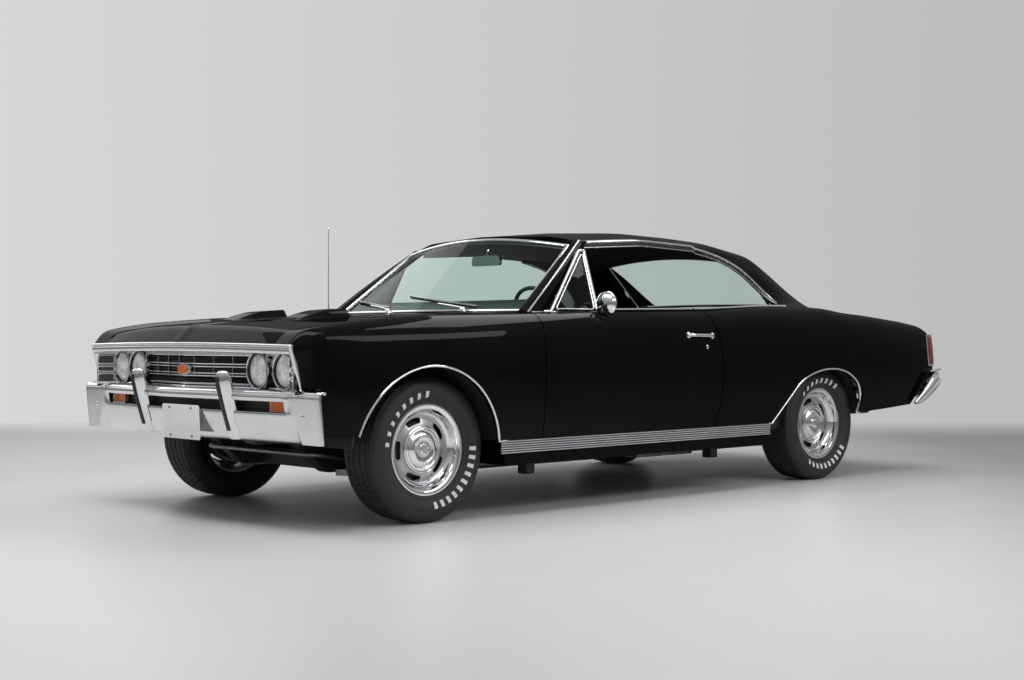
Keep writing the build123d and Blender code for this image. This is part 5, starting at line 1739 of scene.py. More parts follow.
# ---------------------------------------------------------------- cabin
def box_net(cells, corner):
    """The skin of a unit box from -1 to 1, its corners rounded, as points and faces."""
    u = np.linspace(-1, 1, cells + 1)
    parts = []
    for axis in range(3):
        for side in (-1, 1):
            a, b = np.meshgrid(u, u)
            net = np.zeros((cells + 1, cells + 1, 3))
            net[..., axis], net[..., (axis + 1) % 3], net[..., (axis + 2) % 3] = side, a, b
            parts.append(sheet_part(net, flip=side < 0))
    points, faces = join_parts(parts)
    points = np.asarray(points, float)
    inner = np.clip(points, -1 + np.asarray(corner), 1 - np.asarray(corner))
    off = (points - inner) / np.asarray(corner)
    length = np.maximum(np.linalg.norm(off, axis=1), 1e-9)[:, None]
    return inner + off / np.maximum(length, 1) * np.asarray(corner), faces


PAD_VOXEL = 0.009
PAD_PRESSURE = 4
PAD_FRAMES = 20
PAD_CAP = 0.010              # furthest that filling moves a point
SEAM_PITCH = 0.049
SEAM_DEPTH = 0.0075


def puffed(piece):
    """Fills a pad: cloth under pressure for a few frames, no point moving further than the cap."""
    m = piece.modifiers.new("voxels", "REMESH")
    m.mode, m.voxel_size = "VOXEL", PAD_VOXEL
    bpy.context.view_layer.update()
    remade = bpy.data.meshes.new_from_object(piece.evaluated_get(bpy.context.evaluated_depsgraph_get()))
    piece.modifiers.clear()
    material = piece.data.materials[0]
    piece.data = remade
    remade.materials.clear()
    remade.materials.append(material)
    count = len(remade.vertices)
    start = np.empty(count * 3)
    remade.vertices.foreach_get("co", start)
    cloth = piece.modifiers.new("filling", "CLOTH")
    cloth.settings.use_pressure = True
    cloth.settings.uniform_pressure_force = PAD_PRESSURE
    cloth.settings.effector_weights.gravity = 0
    cloth.settings.quality = 4
    for step in range(1, PAD_FRAMES + 1):
        bpy.context.scene.frame_set(step)
    filled = piece.evaluated_get(bpy.context.evaluated_depsgraph_get()).to_mesh()
    end = np.empty(count * 3)
    filled.vertices.foreach_get("co", end)
    piece.evaluated_get(bpy.context.evaluated_depsgraph_get()).to_mesh_clear()
    piece.modifiers.clear()
    bpy.context.scene.frame_set(1)
    move = (end - start).reshape(-1, 3)
    length = np.maximum(np.linalg.norm(move, axis=1), 1e-9)[:, None]
    start = (start.reshape(-1, 3) + move * np.minimum(1, PAD_CAP / length)).ravel()
    remade.vertices.foreach_set("co", start)
    finish_mesh(remade, 60)
    return piece


def pleated(piece, keep):
    """Sewn channels: grooves that run along a pad, pressed into it where keep allows."""
    count = len(piece.data.vertices)
    flat = np.empty(count * 3)
    piece.data.vertices.foreach_get("co", flat)
    p = flat.reshape(-1, 3)
    normals = np.empty(count * 3)
    piece.data.vertices.foreach_get("normal", normals)
    groove = SEAM_DEPTH * np.abs(np.cos(np.pi * p[:, 0] / SEAM_PITCH)) ** 14
    p -= normals.reshape(-1, 3) * (groove * keep(p))[:, None]
    piece.data.vertices.foreach_set("co", p.ravel())
    finish_mesh(piece.data, 60)
    return piece


class CAR_OT_seats(bpy.types.Operator):
    """Front bucket seats and rear bench, filled and sewn"""

    bl_idname = "car.seats"
    bl_label = "Seats"

    def execute(self, context):
        def cushion(x0, x1, y0, y1, z0, front_z, rear_z):
            p, faces = box_net(14, (0.22, 0.20, 0.55))
            u, v, w = p.T
            top = front_z + (rear_z - front_z) * (v + 1) / 2 + 0.012 * (1 - u * u) * (1 - v * v)
            z = z0 + (top - z0) * (w + 1) / 2
            return np.stack([(x0 + x1) / 2 + (x1 - x0) / 2 * u, (y0 + y1) / 2 + (y1 - y0) / 2 * v, z],
                            1), faces

        def back(x0, x1, low, high, thick_low, thick_high, narrow):
            p, faces = box_net(14, (0.24, 0.55, 0.20))
            u, w, v = p.T
            f = (v + 1) / 2
            y = low[0] + (high[0] - low[0]) * f + (thick_low + (thick_high - thick_low) * f) * (w + 1) / 2
            y = y - 0.010 * (1 - u * u) * (w < 0)
            half = (x1 - x0) / 2 * (1 - narrow * f * f)
            return np.stack([(x0 + x1) / 2 + half * u, y, low[1] + (high[1] - low[1]) * f], 1), faces

        def pad(name, part, keep):
            piece = mesh_object(name, *part, finish("vinyl"), 60)
            face_outwards(piece)
            puffed(piece)
            return pleated(piece, keep)

        sets = (
            ("front_cushion", cushion(0.178, 0.652, -0.548, 0.030, 0.262, 0.440, 0.398),
             lambda p: soft_step(p[:, 2], 0.36, 0.40) * soft_step(0.19 - np.abs(p[:, 0] - 0.415), 0, 0.02)
             * soft_step(p[:, 1], -0.50, -0.46)),
            ("front_back", back(0.180, 0.650, (-0.075, 0.400), (0.080, 0.920), 0.120, 0.076, 0.14),
             lambda p: soft_step(0.17 - np.abs(p[:, 0] - 0.415), 0, 0.02) * soft_step(p[:, 2], 0.44, 0.47)
             * soft_step(0.84 - p[:, 2], 0, 0.03)),
        )
        for name, part, keep in sets:
            left = pad(f"{name}_left", part, keep)
            right = bpy.data.objects.new(f"{name}_right", left.data.copy())
            bpy.context.scene.collection.objects.link(right)
            right.data.transform(Matrix.Diagonal((-1, 1, 1, 1)))
            right.data.flip_normals()
            for piece in (left, right):
                fit(piece, "car", "vinyl", *(("front_seats",) if piece.name == "front_cushion_left" else ()))
        rear = (
            ("rear_cushion", cushion(-0.580, 0.580, 0.440, 0.860, 0.300, 0.458, 0.424),
             lambda p: soft_step(p[:, 2], 0.38, 0.42) * soft_step(0.52 - np.abs(p[:, 0]), 0, 0.02)),
            ("rear_back", back(-0.580, 0.580, (0.820, 0.440), (0.890, 0.890), 0.085, 0.085, 0.03),
             lambda p: soft_step(0.50 - np.abs(p[:, 0]), 0, 0.02) * soft_step(p[:, 2], 0.47, 0.50)
             * soft_step(0.82 - p[:, 2], 0, 0.03)),
        )
        for name, part, keep in rear:
            piece = pad(name, part, keep)
            fit(piece, "car", "vinyl", *(("rear_seat",) if name == "rear_cushion" else ()))
        shells = []
        for x in (0.415, -0.415):
            side = [(-0.500, 0.256), (-0.050, 0.256), (-0.020, 0.300), (-0.060, 0.330), (-0.500, 0.330)]
            outline = rounded(side, 0.02)
            for s in (-0.239, 0.239):
                shells.append(slab_part([(x + s - 0.004, y, z) for y, z in outline], (0.008, 0, 0)))
            shells.append(tube_part([(x - 0.232, 0.010, 0.375), (x + 0.232, 0.010, 0.375)], 0.010))
        made("seat_side_shields", join_parts(shells), "chrome", smooth_deg=50, edge=0.002)
        return {"FINISHED"}


DASH_HALF_W = 0.745


class CAR_OT_dashboard(bpy.types.Operator):
    """Padded dashboard, dials, column and steering wheel"""

    bl_idname = "car.dashboard"
    bl_label = "Dashboard and wheel"

    def execute(self, context):
        section = rounded([(-0.982, 0.945), (-0.900, 0.985), (-0.800, 0.998), (-0.748, 0.980),
                           (-0.738, 0.910), (-0.772, 0.868), (-0.786, 0.800), (-0.770, 0.704),
                           (-0.800, 0.664), (-0.980, 0.690)], 0.022, 5)
        def bowed(x, y):
            return y + 0.012 * (1 - (x / DASH_HALF_W) ** 2)

        xs = np.linspace(-DASH_HALF_W, DASH_HALF_W, 31)
        net = np.array([[(x * (1 - 0.6 * max(0.0, z - 0.918)), bowed(x, y), z) for y, z in section]
                        for x in xs])
        count = net.shape[1]
        pad = (net.reshape(-1, 3), closed_faces(31, count))
        made("dash_pad", pad, "dash", slot="vinyl", nodes=("dashboard",), smooth_deg=50)
        line = spots(xs, bowed(xs, -0.775), 0.858)
        low = spots(xs, bowed(xs, -0.768), 0.715)
        rings, faces = [], []
        for x, r in ((0.265, 0.052), (0.380, 0.030), (0.495, 0.052)):
            rings.append(ring_item([(-0.020, r), (0.004, r + 0.005), (0.010, r + 0.003), (0.010, r - 0.002),
                                    (0.000, r - 0.006), (-0.020, r - 0.006)], x, -0.772, 0.790, 40))
            faces.append(revolve_part([(0.002, 0.0), (0.002, r - 0.005), (-0.010, r - 0.005), (-0.010, 0.0)],
                                      40, axis="Y", centre=(x, -0.772, 0.790)))
        knobs = [revolve_part([(-0.010, 0.0), (-0.010, 0.012), (0.022, 0.011), (0.026, 0.008), (0.026, 0.0)],
                              20, axis="Y", centre=(x, -0.774, 0.745))
                 for x in (0.13, 0.18, 0.58, 0.63, -0.06, 0.04)]
        radio = slab_part([(x, -0.776, z) for x, z in rounded_box(-0.10, 0.765, 0.08, 0.825, 0.008)],
                          (0, 0.010, 0))
        glovebox = sweep_part([(x, -0.774, z) for x, z in rounded_box(-0.60, 0.735, -0.22, 0.835, 0.015)],
                              (0, 1, 0), half_round(0.005, 0.004), closed=True)
        made("dash_brightwork", join_parts([sweep_part(line, (0, 1, -0.3), half_round(0.012, 0.006)),
                                            glovebox, sweep_part(low, (0, 1, 0), half_round(0.012, 0.006)),
                                            *rings, *knobs, radio]), "chrome", smooth_deg=50)
        made("dash_dials", join_parts(faces), "dial", slot="grille_black", smooth_deg=40)
        column = tube_part([(0.380, -0.826, 0.731), (0.380, -0.700, 0.803), (0.380, -0.572, 0.876)], 0.025,
                           24)
        made("steering_column", column, "dash", slot="vinyl", smooth_deg=50)
        axis = np.array((0.0, 0.866, 0.5))
        up = np.array((0.0, -0.5, 0.866))
        centre = np.array((0.380, -0.540, 0.896))

        def wheel_at(radius, angle, lift=0.0):
            return centre + radius * (math.cos(angle) * np.array((1.0, 0, 0))
                                      + math.sin(angle) * up) + axis * lift

        turns = full_turn(96)
        path = np.array([wheel_at(0.188, a) for a in turns])
        out = np.array([wheel_at(1, a) - centre for a in turns])
        grip = [(0.0105 * math.cos(a), 0.0105 * math.sin(a)) for a in full_turn(16)]
        made("steering_rim", sweep_part(path, out, grip, closed=True), "dash", "steering_wheel", "vinyl",
             ("steering_wheel",), 60)
        ring = np.array([wheel_at(0.115, a, -0.004) for a in turns])
        bright = [sweep_part(ring, out, [(x * 0.4, y * 0.4) for x, y in grip], closed=True)]
        for a in (math.pi * 0.04, math.pi * 0.96, math.pi * 1.5):
            line = [wheel_at(0.030, a, -0.012), wheel_at(0.100, a, -0.010), wheel_at(0.184, a, -0.001)]
            bright.append(sweep_part(line, axis, [(-0.014, -0.002), (-0.012, 0.003), (0.012, 0.003),
                                                  (0.014, -0.002)]))
        made("steering_spokes", join_parts(bright), "chrome", "steering_wheel", smooth_deg=50)
        profile = [(-0.026, 0.0), (-0.026, 0.034), (-0.010, 0.042), (-0.001, 0.038), (0.004, 0.026),
                   (0.005, 0.0)]
        hub = [[centre + axis * a + r * (math.cos(t) * np.array((1.0, 0, 0)) + math.sin(t) * up)
                for t in full_turn(40)] for a, r in profile]
        made("steering_hub", (np.array(hub).reshape(-1, 3), grid_faces(len(profile), 40, wrap=True)), "dash",
             "steering_wheel", "vinyl", smooth_deg=40)
        return {"FINISHED"}


class CAR_OT_cabin_linings(bpy.types.Operator):
    """Headliner and parcel shelf"""

    bl_idname = "car.cabin_linings"
    bl_label = "Cabin linings"

    def execute(self, context):
        ys = np.linspace(-0.520, 0.850, 36)
        crown = roof_skin.points(ys, np.full(36, float(MIDDLE)))[:, 2]
        side = roof_skin.points(ys, np.full(36, float(DRIP)))
        xs = np.linspace(-1, 1, 25)
        net = np.array([[(t * (side[k, 0] - 0.030), y,
                          crown[k] - 0.030 - (crown[k] - side[k, 2] - 0.006) * t * t) for t in xs]
                        for k, y in enumerate(ys)])
        walled("headliner_sheet", sheet_part(net, flip=True), 0.003, "headliner", "vinyl")
        corners = [(-0.54, 0.985), (0.54, 0.985), (0.52, 1.165), (-0.52, 1.165)]
        shelf = slab_part([(x, y, 0.950) for x, y in rounded(corners, 0.02)], (0, 0, 0.010))
        made("parcel_shelf", shelf, "dash", slot="vinyl", smooth_deg=40)
        return {"FINISHED"}


# ---------------------------------------------------------------- engine bay
AIR_CLEANER_Y = -1.560
PULLEY_Y = -1.850


def run_along_y(section, y0, y1):
    """A cross-section of (x, z) carried from one station to another."""
    section = np.asarray(section, float)
    base = np.array([(x, y0, z) for x, z in section])
    return slab_part(base, (0, y1 - y0, 0))


def turned_box(centre, width, height, tilt, corner=0.012):
    """The cross-section of a tilted box with rounded corners."""
    flat = rounded_box(-width / 2, -height / 2, width / 2, height / 2, corner, 4)
    c, s = math.cos(tilt), math.sin(tilt)
    return [(centre[0] + c * a - s * b, centre[1] + s * a + c * b) for a, b in flat]


class CAR_OT_engine(bpy.types.Operator):
    """V8 with chrome covers and air cleaner, belts, fan, radiator, battery and brake booster"""

    bl_idname = "car.engine"
    bl_label = "Engine bay"

    def execute(self, context):
        tilt = -math.radians(40)
        block = run_along_y([(-0.150, 0.345), (0.150, 0.345), (0.165, 0.470), (0.215, 0.520), (0.090, 0.620),
                             (-0.090, 0.620), (-0.215, 0.520), (-0.165, 0.470)], -1.790, -1.310)
        heads = both_sides(run_along_y(turned_box((0.160, 0.590), 0.140, 0.090, tilt), -1.775, -1.325))
        manifold = run_along_y([(-0.095, 0.610), (0.095, 0.610), (0.075, 0.665), (0.050, 0.680),
                                (-0.050, 0.680), (-0.075, 0.665)], -1.735, -1.365)
        cover = run_along_y([(-0.110, 0.360), (0.110, 0.360), (0.120, 0.600), (0.060, 0.660), (-0.060, 0.660),
                              (-0.120, 0.600)], -1.832, -1.795)
        pan = run_along_y([(-0.110, 0.322), (0.110, 0.322), (0.130, 0.344), (-0.130, 0.344)], -1.760, -1.340)
        made("engine_block", join_parts([block, heads, manifold, cover, pan]), "iron", slot="cast_metal",
             nodes=("engine",), smooth_deg=35, edge=0.004)
        covers = both_sides(run_along_y(turned_box((0.200, 0.640), 0.118, 0.062, tilt, 0.026), -1.765,
                                        -1.335))
        caps = [revolve_part([(0.0, 0.0), (0.0, 0.022), (0.016, 0.020), (0.020, 0.012), (0.020, 0.0)], 28,
                             axis="Z", centre=(x, y, 0.676)) for x, y in ((0.214, -1.72), (-0.214, -1.40))]
        dome = revolve_part([(0.000, 0.0), (0.000, 0.172), (0.004, 0.176), (0.010, 0.174), (0.016, 0.160),
                             (0.022, 0.120), (0.024, 0.060), (0.021, 0.034), (0.023, 0.014), (0.034, 0.010),
                             (0.036, 0.0)], 80, axis="Z", centre=(0, AIR_CLEANER_Y, 0.755))
        tray = revolve_part([(0.000, 0.0), (0.000, 0.110), (0.006, 0.172), (0.012, 0.176), (0.016, 0.172),
                             (0.012, 0.110), (0.014, 0.0)], 80, axis="Z", centre=(0, AIR_CLEANER_Y, 0.692))
        made("engine_brightwork", join_parts([covers, *caps, dome, tray]), "chrome", smooth_deg=45,
             edge=0.001)
        pleats = mesh_object("air_filter",
                             *revolve_part([(0.0, 0.150), (0.0, 0.158), (0.052, 0.158), (0.052, 0.150)], 96,
                                           axis="Z", centre=(0, AIR_CLEANER_Y, 0.704), closed=True),
                             finish("plate_white"), 30)
        fit(face_outwards(pleats), "car", "paint")
        carb = [box_part((-0.060, -1.640, 0.680), (0.060, -1.480, 0.698)),
                box_part((-0.045, -1.615, 0.676), (0.045, -1.505, 0.694))]
        made("carburettor", join_parts(carb), "steel", slot="steel", smooth_deg=30, edge=0.003)
        pipes = []
        for y in (-1.72, -1.61, -1.50, -1.39):
            pipes.append(tube_part(cubic([(0.195, y, 0.545), (0.235, y, 0.525), (0.245, y + 0.02, 0.480),
                                          (0.240, y + 0.04, 0.450)], np.linspace(0, 3, 12)), 0.019))
        pipes.append(tube_part(cubic([(0.240, -1.74, 0.455), (0.240, -1.60, 0.450), (0.240, -1.44, 0.445),
                                      (0.235, -1.34, 0.400), (0.232, -1.29, 0.345)], np.linspace(0, 4, 20)),
                               0.024))
        made("exhaust_manifolds", both_sides(join_parts(pipes)), "steel", slot="cast_metal", smooth_deg=50)
        wheels = []
        for x, z, r in ((0, 0.420, 0.078), (0, 0.585, 0.070), (0.185, 0.655, 0.036), (-0.190, 0.610, 0.048)):
            wheels.append(revolve_part([(-0.018, 0.0), (-0.018, r), (-0.010, r), (0.0, r - 0.010), (0.010, r),
                                         (0.018, r), (0.018, 0.0)], 48, axis="Y", centre=(x, PULLEY_Y, z)))
        wheels.append(revolve_part([(0.0, 0.0), (0.0, 0.060), (0.010, 0.066), (0.100, 0.066), (0.110, 0.050),
                                    (0.110, 0.0)], 36, axis="Y", centre=(0.185, -1.830, 0.655)))
        made("pulleys", join_parts(wheels), "steel", slot="steel", smooth_deg=35)
        belts = []
        for loop, r in ((((0.0, 0.420, 0.076), (0.0, 0.585, 0.068), (0.185, 0.655, 0.034)), 0.0),
                        (((0.0, 0.420, 0.076), (-0.190, 0.610, 0.046)), 0.012)):
            hull = np.array([(x + q * math.cos(t), z + q * math.sin(t)) for x, z, q in loop
                             for t in full_turn(48)])
            order = hull[np.argsort(hull[:, 0] + 1e-6 * hull[:, 1])]
            belts.append(closed_hull(order, PULLEY_Y + r))
        made("fan_belts", join_parts(belts), "black_rubber", slot="grille_black", smooth_deg=50)
        blade = [(0.030, -0.020), (0.185, -0.045), (0.190, 0.030), (0.030, 0.020)]
        blades = []
        for k in range(5):
            a = math.tau * k / 5
            outline = [(r * math.cos(a) - w * math.sin(a), -1.905 + w * 0.45, 0.585 + r * math.sin(a)
                        + w * math.cos(a)) for r, w in rounded(blade, 0.02)]
            blades.append(slab_part(outline, (0, -0.003, 0)))
        blades.append(revolve_part([(-0.055, 0.0), (-0.055, 0.036), (0.0, 0.040), (0.0, 0.0)], 32, axis="Y",
                                   centre=(0, -1.868, 0.585)))
        made("fan", join_parts(blades), "steel", slot="steel", smooth_deg=40)
        hose = tube_part(cubic([(0.03, -1.815, 0.650), (0.05, -1.88, 0.705), (0.16, -2.05, 0.715),
                                (0.24, -2.17, 0.705), (0.250, -2.215, 0.690)], np.linspace(0, 4, 30)), 0.021,
                         16)
        low = tube_part(cubic([(-0.06, -1.815, 0.500), (-0.12, -1.90, 0.480), (-0.20, -2.10, 0.450),
                               (-0.250, -2.205, 0.445)], np.linspace(0, 3, 24)), 0.022, 16)
        made("radiator_hoses", join_parts([hose, low]), "black_rubber", slot="grille_black", smooth_deg=60)
        tank = run_along_y(rounded_box(-0.340, 0.700, 0.340, 0.765, 0.02), -2.268, -2.208)
        filler = revolve_part([(0.0, 0.0), (0.0, 0.028), (0.012, 0.026), (0.014, 0.0)], 28, axis="Z",
                              centre=(-0.20, -2.240, 0.762))
        made("radiator_tank", join_parts([tank, filler]), "brass", slot="chassis", smooth_deg=40, edge=0.002)
        fin = box_part((-0.0015, -2.222, 0.400), (0.0015, -2.208, 0.700))
        fins = repeated("radiator_fins", fin, 67, (-0.330, 0, 0), (0.010, 0, 0), finish("brass"))
        fit(fins, "car", "chassis")
        case = run_along_y(rounded_box(-0.650, 0.560, -0.420, 0.725, 0.010), -2.215, -2.065)
        posts = [revolve_part([(0.0, 0.0), (0.0, 0.010), (0.016, 0.009), (0.016, 0.0)], 16, axis="Z",
                              centre=(x, -2.10, 0.724)) for x in (-0.61, -0.46)]
        made("battery", join_parts([case, *posts]), "black_rubber", slot="grille_black", smooth_deg=40,
             edge=0.003)
        booster = revolve_part([(0.0, 0.0), (0.0, 0.100), (-0.020, 0.108), (-0.045, 0.108), (-0.075, 0.090),
                                (-0.085, 0.040), (-0.085, 0.0)], 48, axis="Y", centre=(0.400, -1.225, 0.740))
        cylinder = run_along_y(rounded_box(0.362, 0.705, 0.438, 0.790, 0.012), -1.440, -1.305)
        made("brake_booster", join_parts([booster, cylinder]), "steel", slot="steel", smooth_deg=40,
             edge=0.002)
        rotor = revolve_part([(0.0, 0.0), (0.0, 0.038), (0.040, 0.042), (0.050, 0.036), (0.052, 0.0)], 32,
                             axis="Z", centre=(0, -1.330, 0.640))
        towers = [revolve_part([(0.0, 0.0), (0.0, 0.008), (0.018, 0.007), (0.018, 0.0)], 12, axis="Z",
                               centre=(0.026 * math.cos(a), -1.330 + 0.026 * math.sin(a), 0.688))
                  for a in full_turn(8)]
        made("distributor", join_parts([rotor, *towers]), "black_rubber", slot="grille_black", smooth_deg=40)
        return {"FINISHED"}


def closed_hull(points, y):
    """A flat belt round the outline of some points, at a station."""
    def half(run):
        chain = []
        for p in run:
            while len(chain) > 1 and np.cross(chain[-1] - chain[-2], p - chain[-2]) <= 0:
                chain.pop()
            chain.append(p)
        return chain[:-1]

    ring = half(list(points)) + half(list(points[::-1]))
    path = along([*ring, ring[0]], 90)[:-1]
    belt = [(-0.004, -0.005), (0.004, -0.005), (0.004, 0.005), (-0.004, 0.005)]
    return sweep_part(np.array([(x, y, z) for x, z in path]), (0, -1, 0), belt, closed=True)


class CAR_OT_lid_frames(bpy.types.Operator):
    """Pressed frames under the hood and the trunk lid"""

    bl_idname = "car.lid_frames"
    bl_label = "Lid frames"

    def execute(self, context):
        def ribs(height, low, high, wide, across):
            found = []
            for x in (-wide, -wide * 0.36, wide * 0.36, wide):
                ys = np.linspace(low, high, 24)
                path = spots(x, ys, height(np.full(24, x), ys) - 0.017)
                found.append(sweep_part(path, (0, 0, -1), half_round(0.060, 0.016)))
            for y in across:
                xs = np.linspace(-wide, wide, 24)
                path = spots(xs, y, height(xs, np.full(24, y)) - 0.017)
                found.append(sweep_part(path, (0, 0, -1), half_round(0.060, 0.014)))
            return join_parts(found)

        def flat_hood(x, y):
            return hood_z(x * 0 + HOOD_HALF_W * 0.95, y)

        def flat_lid(x, y):
            return lid_edge.at(y)[:, 0] + 0.004

        made("hood_frame", ribs(flat_hood, -2.33, -1.27, 0.60, (-2.30, -1.78, -1.30)), "chassis_black",
             "hood", "chassis", smooth_deg=50)
        made("trunk_lid_frame", ribs(flat_lid, 1.64, 2.24, 0.58, (1.66, 2.22)), "chassis_black", "trunk_lid",
             "chassis", smooth_deg=50)
        return {"FINISHED"}


# ---------------------------------------------------------------- chassis frame
class CAR_OT_chassis(bpy.types.Operator):
    """Perimeter frame with raised front horns, kicked-up rear rails, lifting feet and a sway bar"""

    bl_idname = "car.chassis"
    bl_label = "Chassis frame"

    def execute(self, context):
        plan = [(0.300, -1.440), (0.370, -1.440), (0.655, -1.080), (0.655, 0.620), (0.500, 0.860),
                (0.430, 0.860), (0.585, 0.600), (0.585, -1.050), (0.300, -1.400)]
        front = rounded([(-2.300, 0.412), (-2.300, 0.350), (-2.060, 0.338), (-1.900, 0.200), (-1.400, 0.200),
                         (-1.400, 0.300), (-1.860, 0.300), (-2.020, 0.412)], 0.03, 5)
        rear = rounded([(0.810, 0.232), (0.985, 0.232), (1.090, 0.420), (1.500, 0.420), (1.620, 0.330),
                        (2.260, 0.330), (2.260, 0.420), (1.640, 0.420), (1.520, 0.498), (1.045, 0.498),
                        (0.945, 0.292), (0.790, 0.292)], 0.025, 4)
        rails = [slab_part([(x, y, 0.232) for x, y in plan], (0, 0, 0.060)),
                 slab_part([(0.300, y, z) for y, z in front], (0.070, 0, 0)),
                 slab_part([(0.430, y, z) for y, z in rear], (0.070, 0, 0)),
                 box_part((0.590, -0.930, 0.152), (0.650, -0.870, 0.234)),
                 box_part((0.590, 0.470, 0.152), (0.650, 0.530, 0.234))]
        across = [box_part((-0.370, -1.800, 0.200), (0.370, -1.610, 0.280)),
                  box_part((-0.600, -0.530, 0.238), (0.600, -0.450, 0.264)),
                  box_part((-0.500, 1.620, 0.340), (0.500, 1.680, 0.415)),
                  box_part((-0.500, 2.210, 0.340), (0.500, 2.260, 0.415))]
        made("chassis_frame", join_parts([both_sides(part) for part in rails] + across), "chassis_black",
             slot="chassis", nodes=("frame",), smooth_deg=40, edge=0.004)
        bend = [(-0.430, -1.800, 0.262), (-0.425, -1.950, 0.285), (-0.380, -2.030, 0.292),
                (-0.250, -2.035, 0.292)]
        line = bend + [(-x, y, z) for x, y, z in reversed(bend)]
        made("sway_bar", tube_part(cubic(line, np.linspace(0, 7, 64)), 0.012, 20), "steel", slot="chassis",
             smooth_deg=60)
        return {"FINISHED"}


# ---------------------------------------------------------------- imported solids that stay
KEPT_NODES = {
    "paint": ("rockers",),
    "chassis_black": ("inner_fenders", "radiator_support", "trunk_floor", "fuel_tank", "floor_pan"),
    "steel": ("rear_axle", "front_suspension", "exhaust", "driveline", "knuckle_left", "knuckle_right"),
}


class CAR_OT_kept_nodes(bpy.types.Operator):
    """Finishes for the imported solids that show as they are"""

    bl_idname = "car.kept_nodes"
    bl_label = "Chassis and other solids"

    def execute(self, context):
        for name, nodes in KEPT_NODES.items():
            for node in nodes:
                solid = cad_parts[node]
                for k in range(max(1, len(solid.material_slots))):
                    if not solid.material_slots:
                        solid.data.materials.append(finish(name))
                    solid.material_slots[k].material = finish(name)
        return {"FINISHED"}


# ---------------------------------------------------------------- stage
CAMERA_PLACE = (5.782, -5.903, 0.810)
CAMERA_YAW_DEG = 136.44
CAMERA_PITCH_DEG = -0.11
CAMERA_LENS_MM = 52.36
SENSOR_MM = 36
ACROSS_VIEW = (0.689, 0.725, 0.0)      # to the right, level, seen from the camera
ALONG_VIEW = (-0.7247, 0.6891, 0.0)    # away from the camera, level
STUDIO_LAMPS = (                       # name, place, aim, size and power
    ("ceiling_front", (0.5, -3.2, 4.6), (0, -1.2, 0.6), (5.0, 1.6), 150),
    ("ceiling_rear", (0.3, 2.0, 4.6), (0, 1.2, 0.6), (5.0, 1.6), 130),
    ("side_soft", (5.5, 0.5, 3.6), (0.3, 0.2, 0.6), (6.0, 1.4), 110),
    ("far_soft", (-5.5, -1.0, 3.8), (-0.3, -0.4, 0.6), (6.0, 3.2), 75),
)


def set_range(node, low, high, to_low=0.0, to_high=1.0):
    """The span that a Map Range node reads and the span that it gives."""
    for socket, value in (("From Min", low), ("From Max", high), ("To Min", to_low), ("To Max", to_high)):
        node.inputs[socket].default_value = value


